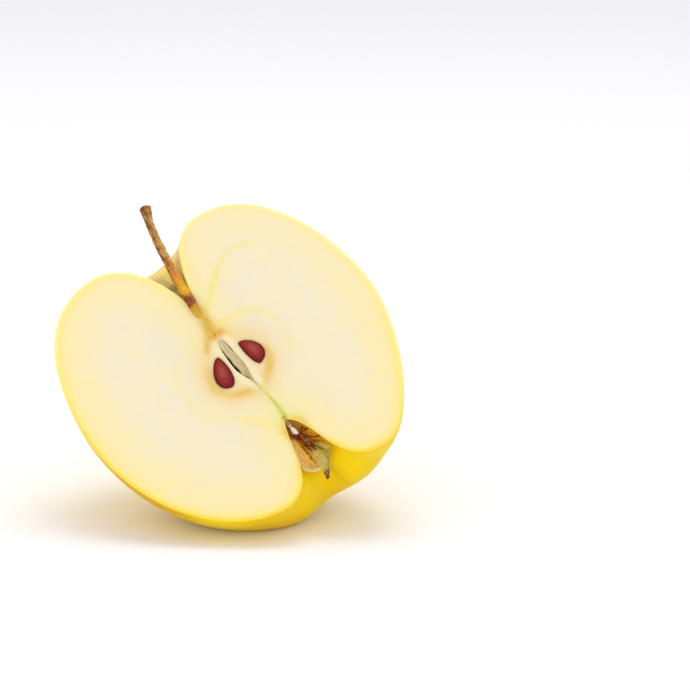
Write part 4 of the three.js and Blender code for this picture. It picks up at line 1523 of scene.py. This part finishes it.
# %% [markdown]
# ## The style
#
# The style is what is left of the flower's middle: a short pale stalk under the roof of
# the calyx cavity, frayed at its end. A tapering tube with an uneven surface is enough,
# because its down comes from the hairs below.

# %% The style's mesh
STYLE_LINE = [(0.05, 0.5, -17.3), (0.0, 0.8, -19.4), (0.15, 0.95, -21.6)]
STYLE_RINGS, STYLE_SIDES = 40, 18
STYLE_RADIUS, STYLE_GROWTH = 0.3, 0.3  # at its top, and how much thicker it is at its end
STYLE_ROUNDING = 10  # power: higher makes its two ends blunter
STYLE_LUMPS, STYLE_LUMP_SIZE = 0.2, 0.55

style_line = route(STYLE_LINE, STYLE_RINGS)
tangent, sideways, inward = tube_frames(style_line)
share = np.linspace(0, 1, STYLE_RINGS)[:, None]
angle = circle(STYLE_SIDES)[None, :]
radius = STYLE_RADIUS + STYLE_GROWTH * share
radius = radius * np.sqrt(np.clip(1 - (2 * share - 1) ** STYLE_ROUNDING, 0, 1))
across = around(sideways, inward, angle)
points = style_line[:, None] + across * radius[..., None]
lumps = STYLE_LUMPS * bumps(points, STYLE_LUMP_SIZE, 12) * (radius > 0.05)
points = points + across * lumps[..., None]
style = new_piece(
    "downy_style", points.reshape(-1, 3), grid_faces(STYLE_RINGS, STYLE_SIDES, True),
)
weld_points(style, FINE_WELD)
style_heights = np.array([(fruit_to_world.inverted() @ v.co).z for v in style.data.vertices])
style_top, style_end = STYLE_LINE[0][2], STYLE_LINE[-1][2]
add_values(style, "along", (style_heights - style_top) / (style_end - style_top))
print("style points:", len(style.data.vertices))

# %% [markdown]
# ## Three helpers for Geometry Nodes
#
# A geometry tree is like a small program that a modifier runs. Threads, down and dots each
# get one. The helpers begin a tree, end it and keep its result as a plain mesh.

# %% Beginning, ending and running a tree
SOCKET_KINDS = {int: "Int", float: "Float", tuple: "Vector", type(None): "Material"}


def new_tree(name, inputs, with_mesh=False):
    """A geometry tree with named inputs, whose starting values also say what kind they are."""
    tree = bpy.data.node_groups.new(name, "GeometryNodeTree")
    if with_mesh:
        tree.interface.new_socket("Mesh", in_out="INPUT", socket_type="NodeSocketGeometry")
    for socket_name, value in inputs.items():
        kind = "NodeSocket" + SOCKET_KINDS[type(value)]
        socket = tree.interface.new_socket(socket_name, in_out="INPUT", socket_type=kind)
        if value is not None:
            socket.default_value = value
    tree.interface.new_socket("Geometry", in_out="OUTPUT", socket_type="NodeSocketGeometry")
    return tree, tree.nodes.new("NodeGroupInput").outputs, tree.nodes.new("NodeGroupOutput").inputs


def finish_tree(tree, output, result, material):
    """Ends a tree: copies made real, and their material set."""
    real = add_node(tree, "GeometryNodeRealizeInstances", {0: result})
    dressed = add_node(tree, "GeometryNodeSetMaterial", {0: real, "Material": material})
    tree.links.new(dressed.outputs[0], output[0])


def grow(name, tree, values, mesh=None):
    """Runs a tree with these inputs and keeps the result as a plain mesh."""
    piece = bpy.data.objects.new(name, mesh or bpy.data.meshes.new(name))
    bpy.context.scene.collection.objects.link(piece)
    modifier = piece.modifiers.new(tree.name, "NODES")
    modifier.node_group = tree
    for item in tree.interface.items_tree:
        if item.in_out == "INPUT" and item.name in values:
            modifier[item.identifier] = values[item.name]
    apply_modifiers(piece)
    return piece


print("kinds of inputs:", ", ".join(SOCKET_KINDS.values()))

# %% [markdown]
# ## The stamens, with Geometry Nodes
#
# A dozen dried threads hang from a ring under the style and meet in a loose bundle. They
# are the same thing many times over, each a little different, which is what Geometry
# Nodes are for: one node tree makes a curve for each thread and gives it a place on the
# ring and a random place in the bundle. The seed fixes the random draw.

# %% Where each thread begins and ends
RING_RADIUS, RING_HEIGHT, RING_DEPTH = 1.45, -21.6, 0.35
THREAD_COUNT, THREAD_RADIUS = 13, 0.12
BUNDLE_END, BUNDLE_SPREAD = (0.9, 1.3, -26.6), (0.85, 0.6, 1.0)
THREAD_POINTS = 14  # along each thread
RING_TURN = 0.1  # radians from the cut face to the first thread

thread_tree, given, output = new_tree("dry_threads", {
    "Count": THREAD_COUNT,
    "Ring Radius": RING_RADIUS,
    "Ring Place": (0.0, RING_DEPTH, RING_HEIGHT),
    "Bundle End": BUNDLE_END,
    "Bundle Spread": BUNDLE_SPREAD,
    "Thread Radius": THREAD_RADIUS,
    "Seed": 4,
    "Material": None,
})
tree = thread_tree
starts = add_node(tree, "GeometryNodePoints", {"Count": given["Count"]})
line = add_node(tree, "GeometryNodeCurvePrimitiveLine")
bendable = add_node(tree, "GeometryNodeResampleCurve", {"Curve": line, "Count": THREAD_POINTS})
copies = add_node(tree, "GeometryNodeInstanceOnPoints", {"Points": starts, "Instance": bendable})
threads = add_node(tree, "GeometryNodeRealizeInstances", {0: copies})
number = add_node(tree, "GeometryNodeFieldOnDomain", {
    0: add_node(tree, "GeometryNodeInputIndex"),
}, domain="CURVE", data_type="INT")
ring_share = add_node(tree, "ShaderNodeMath", {0: number, 1: given["Count"]}, operation="DIVIDE")
ring_angle = add_node(tree, "ShaderNodeMath", {
    0: ring_share, 1: math.pi, 2: RING_TURN,
}, operation="MULTIPLY_ADD")
cosine = add_node(tree, "ShaderNodeMath", {0: ring_angle}, operation="COSINE")
sine = add_node(tree, "ShaderNodeMath", {0: ring_angle}, operation="SINE")
direction = add_node(tree, "ShaderNodeCombineXYZ", {0: cosine, 1: sine})
start = add_node(tree, "ShaderNodeVectorMath", {
    0: direction, 1: given["Ring Radius"], 2: given["Ring Place"],
}, operation="MULTIPLY_ADD")
scatter = add_node(tree, "FunctionNodeRandomValue", {
    "Min": (-1, -1, -1), "Max": (1, 1, 1), "ID": number, "Seed": given["Seed"],
}, data_type="FLOAT_VECTOR")
end = add_node(tree, "ShaderNodeVectorMath", {
    0: scatter, 1: given["Bundle Spread"], 2: given["Bundle End"],
}, operation="MULTIPLY_ADD")
print("threads:", THREAD_COUNT, "of", THREAD_POINTS, "points")

# %% [markdown]
# ## Bending the threads
#
# Each thread swings in from the ring quickly and then hangs in the bundle: its height
# follows its length, and its place across follows a power of it. Noise makes it wriggle
# more towards its end. Then it gets a round section.

# %% From the ring to the bundle
GATHERING = 0.6  # power below 1: the threads meet early
WRIGGLE_SIZE, WRIGGLE_APART = 0.35, 9.0  # noise scale, and how far apart the threads read it
THREAD_TAPER = (1.3, 0.75)  # thickness at the ring and at the end
THREAD_SIDES = 7

share = add_node(tree, "GeometryNodeSplineParameter").outputs["Factor"]
eased = add_node(tree, "ShaderNodeMath", {0: share, 1: GATHERING}, operation="POWER")
straight = add_node(tree, "ShaderNodeMix", {0: share, 4: start, 5: end}, data_type="VECTOR").outputs[1]
pulled = add_node(tree, "ShaderNodeMix", {0: eased, 4: start, 5: end}, data_type="VECTOR").outputs[1]
hanging = add_node(tree, "ShaderNodeSeparateXYZ", {0: straight}).outputs
gathered = add_node(tree, "ShaderNodeSeparateXYZ", {0: pulled}).outputs
middle_line = add_node(tree, "ShaderNodeCombineXYZ", {0: gathered[0], 1: gathered[1], 2: hanging[2]})
apart = add_node(tree, "ShaderNodeVectorMath", {0: scatter, "Scale": WRIGGLE_APART}, operation="SCALE")
noise_place = add_node(tree, "ShaderNodeVectorMath", {0: middle_line, 1: apart}, operation="ADD")
wriggle = add_node(tree, "ShaderNodeTexNoise", {
    "Vector": noise_place, "Scale": WRIGGLE_SIZE, "Detail": 1.0,
}).outputs["Color"]
centred = add_node(tree, "ShaderNodeVectorMath", {0: wriggle, 1: (0.5, 0.5, 0.5)}, operation="SUBTRACT")
offset = add_node(tree, "ShaderNodeVectorMath", {0: centred, "Scale": share}, operation="SCALE")
place = add_node(tree, "ShaderNodeVectorMath", {0: middle_line, 1: offset}, operation="ADD")
moved = add_node(tree, "GeometryNodeSetPosition", {"Geometry": threads, "Position": place})
thinning = add_node(tree, "ShaderNodeMapRange", {
    "Value": share, "To Min": THREAD_TAPER[0], "To Max": THREAD_TAPER[1],
})
sized = add_node(tree, "GeometryNodeSetCurveRadius", {"Curve": moved, "Radius": thinning})
section = add_node(tree, "GeometryNodeCurvePrimitiveCircle", {
    "Resolution": THREAD_SIDES, "Radius": given["Thread Radius"],
})
tubes = add_node(tree, "GeometryNodeCurveToMesh", {
    "Curve": sized, "Profile Curve": section, "Fill Caps": True,
})
finish_tree(tree, output, tubes, given["Material"])
print("thread tree:", len(tree.nodes), "nodes")

# %% [markdown]
# ## Finish of the threads, and growing them
#
# Dried stamens are brittle dark red-brown threads, with pale streaks along them as a painted
# highlight. The tree works in the fruit's frame, so the finished mesh is leant back by the
# same matrix as the rest.

# %% Grow the threads
STAMEN_BROWN = "#843414"
STAMEN_DARK = "#461406"
STAMEN_HIGHLIGHT = "#e6b090"
DRY_ROUGHNESS, STAMEN_SHINE = 0.7, 0.15

threads_finish, tree, shader = new_material("dried_stamen_threads")
place = fruit_place(tree)
highlight_streaks = spots(tree, place, 0.45, low=0.58, high=0.66, stretch=(1, 1, 0.3))
colour = paint(tree, linear(STAMEN_BROWN), [
    (spots(tree, place, 0.8, low=0.45, high=0.6), 0.8, STAMEN_DARK),
    # painted highlight: pale streaks along the threads
    (highlight_streaks, 0.7, STAMEN_HIGHLIGHT),
])
fill_sockets(tree, shader, {
    "Base Color": colour, "Roughness": DRY_ROUGHNESS, "Specular IOR Level": STAMEN_SHINE,
})

stamens = grow("stamen_threads", thread_tree, {"Material": threads_finish})
stamens.data.transform(fruit_to_world)
stamens.data.shade_smooth()
print("stamen threads:", len(stamens.data.polygons), "faces")

# %% [markdown]
# ## The ring that holds the stamens, and the threads that stand apart
#
# The threads grow from a narrow ledge on the cavity's wall, which the knife left as a half
# ring with uneven ends. A few threads broke away from the bundle and point to the right,
# and two short ends stick out at its left. All of them are thin rods along curves.

# %% Ledge and stray threads
STRAY_THREADS = [  # four points of each, and its radius
    ([(1.4, 1.1, -21.9), (2.1, 0.9, -24.0), (3.0, 0.6, -25.3), (4.6, 0.5, -25.0)], 0.16),
    ([(1.1, 1.0, -22.2), (1.9, 0.9, -23.8), (2.3, 0.8, -25.0), (2.6, 0.8, -26.2)], 0.16),
    ([(1.0, 1.2, -22.0), (1.6, 1.2, -24.6), (1.8, 1.0, -26.8), (2.8, 1.0, -28.4)], 0.12),
    ([(1.0, 0.9, -21.4), (1.6, 0.9, -20.8), (2.2, 0.9, -20.7), (2.4, 1.0, -21.1)], 0.26),
    ([(1.2, 0.8, -22.0), (1.9, 0.9, -21.5), (2.6, 0.9, -21.6), (3.0, 1.0, -21.9)], 0.2),
    ([(0.0, 0.9, -21.9), (-0.6, 0.8, -21.5), (-1.1, 0.7, -21.0), (-1.2, 0.6, -20.6)], 0.3),
    ([(-0.2, 0.9, -22.1), (-0.8, 0.9, -22.2), (-1.3, 0.8, -21.9), (-1.6, 0.7, -21.4)], 0.24),
    ([(-1.2, 0.9, -27.4), (-0.9, 0.8, -27.6), (-0.8, 0.8, -27.9), (-1.2, 0.9, -28.1)], 0.1),
    ([(-1.4, 0.9, -28.2), (-1.0, 0.8, -28.3), (-0.9, 0.8, -28.7), (-1.2, 0.9, -28.9)], 0.09),
]
LEDGE_RADIUS, LEDGE_ANGLES = 0.3, (0.05, 1.1, 2.0, 3.1)
ROD_ROUNDING, ROD_UNEVENNESS = 12, 0.25


def rod(points, radius, rings=24, sides=9):
    """Points and faces of a thin rod with rounded ends along a curve."""
    line = curve_line(points, rings)
    tangent, sideways, inward = tube_frames(line)
    across = around(sideways, inward, circle(sides))
    taper = np.sqrt(np.clip(1 - np.linspace(-1, 1, rings) ** ROD_ROUNDING, 0, 1))
    uneven = 1 + ROD_UNEVENNESS * bumps(line, 0.7, 13)
    rod_points = line[:, None] + across * (radius * taper * uneven)[:, None, None]
    return rod_points.reshape(-1, 3), grid_faces(rings, sides, True)


ledge_line = [
    (RING_RADIUS * math.cos(a), RING_DEPTH + RING_RADIUS * math.sin(a), RING_HEIGHT)
    for a in LEDGE_ANGLES
]
ledge_points, ledge_faces = [], []
for points, radius in [(ledge_line, LEDGE_RADIUS), *STRAY_THREADS]:
    rod_points, rod_faces = rod(points, radius)
    start = sum(len(part) for part in ledge_points)
    ledge_points.append(rod_points)
    ledge_faces += [tuple(i + start for i in face) for face in rod_faces]
ledge = new_piece("stamen_ledge", np.vstack(ledge_points), ledge_faces)
weld_points(ledge, FINE_WELD)
ledge.data.materials.append(threads_finish)
print("ledge points:", len(ledge.data.vertices))

# %% [markdown]
# ## Down, with Geometry Nodes
#
# Sepals and style are covered with short pale hairs. A second tree scatters points over
# the faces of a mesh and stands a thin cone on each, tilted at random. Real down is
# finer than a render can show, so these hairs are as coarse as they have to be to show.

# %% A node tree for the down
HAIR_LENGTH, HAIR_RADIUS = 0.5, 0.035  # mm
HAIRS_PER_MM2 = 9
HAIR_TILT, HAIR_SIZES = 0.8, (0.5, 1.3)  # radians, and smallest and largest
BARE_TIP_ENDS, BARE_TIP_BEGINS = 0.92, 0.72  # along the piece

down_tree, given, output = new_tree("short_down", {
    "Density": 1.0,
    "Length": HAIR_LENGTH * MM,
    "Radius": HAIR_RADIUS * MM,
    "Tip Share": 1.0,
    "Seed": 2,
    "Material": None,
}, with_mesh=True)
tree = down_tree
along = add_node(tree, "GeometryNodeInputNamedAttribute", {"Name": "along"}, data_type="FLOAT")
downy = add_node(tree, "ShaderNodeMapRange", {
    "Value": along, "From Min": BARE_TIP_ENDS, "From Max": BARE_TIP_BEGINS,
    "To Min": given["Tip Share"], "To Max": 1.0,
})
density = product(tree, along, downy, given["Density"])
scattered = add_node(tree, "GeometryNodeDistributePointsOnFaces", {
    "Mesh": given["Mesh"], "Density": density, "Seed": given["Seed"],
}, distribute_method="RANDOM")
cone = add_node(tree, "GeometryNodeMeshCone", {
    "Vertices": 3, "Radius Top": 0.0, "Radius Bottom": given["Radius"], "Depth": given["Length"],
})
tilt = add_node(tree, "FunctionNodeRandomValue", {
    "Min": (-HAIR_TILT,) * 3, "Max": (HAIR_TILT,) * 3, "Seed": given["Seed"],
}, data_type="FLOAT_VECTOR")
turned = add_node(tree, "FunctionNodeRotateRotation", {
    0: scattered.outputs["Rotation"],
    1: add_node(tree, "FunctionNodeEulerToRotation", {0: tilt}),
}, rotation_space="LOCAL")
size = add_node(tree, "FunctionNodeRandomValue", {
    2: HAIR_SIZES[0], 3: HAIR_SIZES[1], "Seed": given["Seed"],
}, data_type="FLOAT").outputs[1]
hairs = add_node(tree, "GeometryNodeInstanceOnPoints", {
    "Points": scattered.outputs["Points"], "Instance": cone, "Rotation": turned, "Scale": size,
})
finish_tree(tree, output, hairs, given["Material"])
print("down tree:", len(tree.nodes), "nodes")

# %% [markdown]
# ## Colours of the down
#
# Down is pale because each hair is thin and scatters the light. The style's is white to
# pink with brown hairs among it, and the sepals' is like straw. The style itself is brown
# at its top and pales towards its end.

# %% Down, straw and withered style
DOWN_WHITE = "#eee2c8"
STYLE_PINK = "#e3c8b0"
DOWN_STRAW = "#e6dcae"
STYLE_BROWN = "#8a6a44"
PALE_FROM, PALE_TO = 0.35, 0.65  # along the style

down_finish, tree, shader = new_material("pale_down")
place = fruit_place(tree)
colour = paint(tree, linear(DOWN_WHITE), [
    (spots(tree, place, 1.5, low=0.4, high=0.7), STYLE_PINK),
    (spots(tree, place, 0.7, detail=3, low=0.52, high=0.6), 0.8, STAMEN_BROWN),
])
fill_sockets(tree, shader, {"Base Color": colour, "Roughness": DRY_ROUGHNESS})
style_finish, tree, shader = new_material("withered_style")
along = add_node(tree, "ShaderNodeAttribute", attribute_name="along").outputs["Fac"]
pale_end = add_node(tree, "ShaderNodeMapRange", {
    "Value": along, "From Min": PALE_FROM, "From Max": PALE_TO,
}, interpolation_type="SMOOTHSTEP")
colour = paint(tree, linear(STYLE_BROWN), [
    (spots(tree, fruit_place(tree), 0.5, low=0.45, high=0.6), STYLE_PINK),
    (pale_end, 0.9, DOWN_WHITE),
])
fill_sockets(tree, shader, {"Base Color": colour, "Roughness": DRY_ROUGHNESS})
style.data.materials.append(style_finish)
leaf_down, tree, shader = new_material("straw_coloured_down")
fill_sockets(tree, shader, {"Base Color": linear(DOWN_STRAW), "Roughness": DRY_ROUGHNESS})
print("materials:", down_finish.name, style_finish.name, leaf_down.name)

# %% [markdown]
# ## Growing the down
#
# One tree grows all four coats. Density, seed and finish change from piece to piece, and
# the tips of the sepals stay almost bare.

# %% Grow the down
BARE_TIP = 0.15  # share of the hairs that grow at a sepal's tip

downy_places = {  # the piece, its share of the hairs and their finish
    "style": (style, 1.2, down_finish),
    "sepal_left": (sepals["sepal_left"], 0.4, leaf_down),
    "sepal_middle": (sepals["sepal_middle"], 0.9, leaf_down),
    "sepal_right": (sepals["sepal_right"], 0.2, leaf_down),
}
down_pieces = {}
for number, (name, (piece, share, finish)) in enumerate(downy_places.items()):
    down_pieces[name] = grow(f"down_on_{name}", down_tree, {
        "Density": share * HAIRS_PER_MM2 / MM**2,
        "Tip Share": 1.0 if piece is style else BARE_TIP,
        "Seed": number + 2, "Material": finish,
    }, piece.data.copy())
    print(down_pieces[name].name, "faces:", len(down_pieces[name].data.polygons))

# %% [markdown]
# ## Lenticels, with Geometry Nodes
#
# The skin breathes through corky dots, the lenticels. They sit closer together towards
# the flower end. The third tree scatters them on a copy of the skin with a least distance
# between them, and sets a very flat dome on each, a few hundredths of a millimetre proud.

# %% A node tree for the lenticels
LENTICEL_RADIUS, LENTICEL_HEIGHT = 0.26, 0.05  # mm
LENTICELS_PER_MM2, LENTICEL_SPACING = 0.035, 3.2
LENTICEL_SIZES = (0.45, 1.25)  # smallest and largest, as a share of the radius

dot_tree, given, output = new_tree("corky_dots", {
    "Density": LENTICELS_PER_MM2 / MM**2,
    "Spacing": LENTICEL_SPACING * MM,
    "Radius": LENTICEL_RADIUS * MM,
    "Height": LENTICEL_HEIGHT * MM,
    "Seed": 7,
    "Material": None,
}, with_mesh=True)
tree = dot_tree
zone = add_node(tree, "GeometryNodeInputNamedAttribute", {"Name": "dot_zone"}, data_type="FLOAT")
scattered = add_node(tree, "GeometryNodeDistributePointsOnFaces", {
    "Mesh": given["Mesh"], "Distance Min": given["Spacing"], "Density Max": given["Density"],
    "Density Factor": zone, "Seed": given["Seed"],
}, distribute_method="POISSON")
dome = add_node(tree, "GeometryNodeMeshIcoSphere", {"Radius": 1.0, "Subdivisions": 2})
flat_size = add_node(tree, "ShaderNodeCombineXYZ", {
    0: given["Radius"], 1: given["Radius"], 2: given["Height"],
})
size = add_node(tree, "FunctionNodeRandomValue", {
    2: LENTICEL_SIZES[0], 3: LENTICEL_SIZES[1], "Seed": given["Seed"],
}, data_type="FLOAT").outputs[1]
scaled = add_node(tree, "ShaderNodeVectorMath", {0: flat_size, "Scale": size}, operation="SCALE")
dots = add_node(tree, "GeometryNodeInstanceOnPoints", {
    "Points": scattered.outputs["Points"], "Instance": dome,
    "Rotation": scattered.outputs["Rotation"], "Scale": scaled,
})
finish_tree(tree, output, dots, given["Material"])
print("dot tree:", len(tree.nodes), "nodes")

# %% [markdown]
# ## Growing the lenticels
#
# Cork is dull and brown. A number on each vertex of the copied skin says how close the
# dots may sit: none beside the cut, in the cavities or where the skin touches the floor,
# and more towards the flower end. The copy goes once the dots have been grown.

# %% Grow the lenticels
CORK_BROWN = "#9c6a2c"
CORK_DARK = "#6e431c"
CORK_ROUGHNESS = 0.7
RIM_CLEARANCE = 9.0  # mm from the cut face that stay clear of dots
FEWEST_DOTS, DOTS_CHANGE = 0.25, 25.0  # share at the stem end, and mm either side of the middle
STEM_CAVITY, CALYX_CAVITY = (0.22, 0.3), (0.78, 0.84)  # ends of both cavities along the skin
FLOOR_CLEARANCE = (1 * MM, 3 * MM)
DOME_FACES = 80

cork, tree, shader = new_material("corky_lenticels")
place = fruit_place(tree)
colour = paint(tree, linear(CORK_BROWN), [(spots(tree, place, 9, low=0.4, high=0.6), CORK_DARK)])
fill_sockets(tree, shader, {"Base Color": colour, "Roughness": CORK_ROUGHNESS})

skin_copy = new_piece("skin_for_dots", skin_flat, skin_faces)
zone = smooth(skin_flat[:, 1], RIM_CLEARANCE, 3 * RIM_CLEARANCE)
zone *= mix(FEWEST_DOTS, 1.0, smooth(-skin_flat[:, 2], -DOTS_CHANGE, DOTS_CHANGE))
zone *= smooth(shares.ravel(), *STEM_CAVITY)
zone *= 1 - smooth(shares.ravel(), *CALYX_CAVITY)
zone *= smooth(to_world(skin_flat)[:, 2], *FLOOR_CLEARANCE)
add_values(skin_copy, "dot_zone", zone)
lenticels = grow("lenticels", dot_tree, {"Material": cork}, skin_copy.data)
bpy.data.objects.remove(skin_copy)
lenticels.data.shade_smooth()
print("lenticels:", len(lenticels.data.polygons) // DOME_FACES)

# %% [markdown]
# ## Each piece on its body, in place of its CAD nodes
#
# Every piece rides on the one body of this part. The list also names a finish of the record
# for each piece, and the CAD nodes that it stands for, which are hidden.

# %% Bodies, nodes and slots
replacements = [
    (half, "flesh_and_skin", ("flesh",)),
    (lenticels, "flesh_and_skin", ()),
    (seeds["seed_left"], "seed_coat", ("seed_left",)),
    (seeds["seed_right"], "seed_coat", ("seed_right",)),
    (papery_wall, "papery_core", ("core_wall",)),
    (stem, "dry_stem", ("stem",)),
    (style, "dry_style", ("style",)),
    (stamens, "dry_stamens", ("stamens",)),
    (ledge, "dry_stamens", ()),
    (sepals["sepal_left"], "dry_sepal", ("sepal_left",)),
    (sepals["sepal_middle"], "green_sepal", ("sepal_middle",)),
    (sepals["sepal_right"], "green_sepal", ("sepal_right",)),
    (down_pieces["style"], "dry_style", ()),
    (down_pieces["sepal_left"], "dry_sepal", ()),
    (down_pieces["sepal_middle"], "green_sepal", ()),
    (down_pieces["sepal_right"], "green_sepal", ()),
]
for piece, slot, nodes in replacements:
    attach(piece, "root")
    if nodes:
        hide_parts(*nodes)
print("pieces:", len(replacements))

# %% [markdown]
# ## Floor and light
#
# A pale sheet of paper in a bright white room, whose light wraps round the fruit. A large
# soft lamp above and a wider one low in front, a little to the left, give it form and a
# faint shadow.

# %% Floor and lamps
FLOOR_SIZE = 12.0  # m
ROOM_STRENGTH = 0.86
PAPER_WHITE, PAPER_ROUGHNESS, PAPER_SHINE = "#fcfbff", 0.9, 0.2

floor_mesh = bpy.data.meshes.new("paper_floor")
corner = FLOOR_SIZE / 2
floor_mesh.from_pydata(
    [(-corner, -corner, 0), (corner, -corner, 0), (corner, corner, 0), (-corner, corner, 0)],
    [], [(0, 1, 2, 3)],
)
floor = bpy.data.objects.new("paper_floor", floor_mesh)
bpy.context.scene.collection.objects.link(floor)
paper, tree, shader = new_material("matte_white_paper")
fill_sockets(tree, shader, {
    "Base Color": linear(PAPER_WHITE), "Roughness": PAPER_ROUGHNESS, "Specular IOR Level": PAPER_SHINE,
})
floor_mesh.materials.append(paper)

world = bpy.data.worlds.new("white_room")
world.use_nodes = True
fill_sockets(world.node_tree, world.node_tree.nodes["Background"], {
    "Color": (1, 1, 1, 1), "Strength": ROOM_STRENGTH,
})
bpy.context.scene.world = world

LAMPS = {  # place in m, size in m, watts
    "top_softbox": ((0.1, 0.3, 1.3), 0.7, 4.0),
    "front_softbox": ((-0.4, -1.2, 0.12), 0.9, 4.3),
}
core_middle = Vector((0, 0, REST_HEIGHT * MM))
for name, (place, size, power) in LAMPS.items():
    lamp = bpy.data.lights.new(name, "AREA")
    lamp.size, lamp.energy = size, power
    lamp_object = bpy.data.objects.new(name, lamp)
    lamp_object.location = place
    lamp_object.rotation_euler = (core_middle - Vector(place)).to_track_quat("-Z", "Y").to_euler()
    bpy.context.scene.collection.objects.link(lamp_object)
bpy.context.scene.view_settings.view_transform = "Standard"
print("lamps:", ", ".join(LAMPS))

# %% [markdown]
# ## The camera
#
# A long lens half a metre away keeps the fruit's proportions true. It stands a little above
# the fruit and is turned to the right, so that the fruit stands left of the middle.

# %% The camera
CAMERA_DISTANCE, CAMERA_RISE = 550 * MM, math.radians(14)
FOCAL_LENGTH, SENSOR_WIDTH = 117.7, 36  # mm
TURN_RIGHT, TURN_UP = math.radians(2.59), math.radians(0.58)

camera_data = bpy.data.cameras.new("long_lens")
camera_data.lens, camera_data.sensor_width = FOCAL_LENGTH, SENSOR_WIDTH
camera_data.clip_start, camera_data.clip_end = 0.05, 50
camera = bpy.data.objects.new("long_lens", camera_data)
away = Vector((0, -math.cos(CAMERA_RISE), math.sin(CAMERA_RISE)))
camera.matrix_world = (
    Matrix.Translation(core_middle + CAMERA_DISTANCE * away)
    @ (-away).to_track_quat("-Z", "Y").to_matrix().to_4x4()
    @ Matrix.Rotation(-TURN_RIGHT, 4, "Y")
    @ Matrix.Rotation(TURN_UP, 4, "X")
)
bpy.context.scene.collection.objects.link(camera)
bpy.context.scene.camera = camera
print("camera at", [round(v, 3) for v in camera.location])
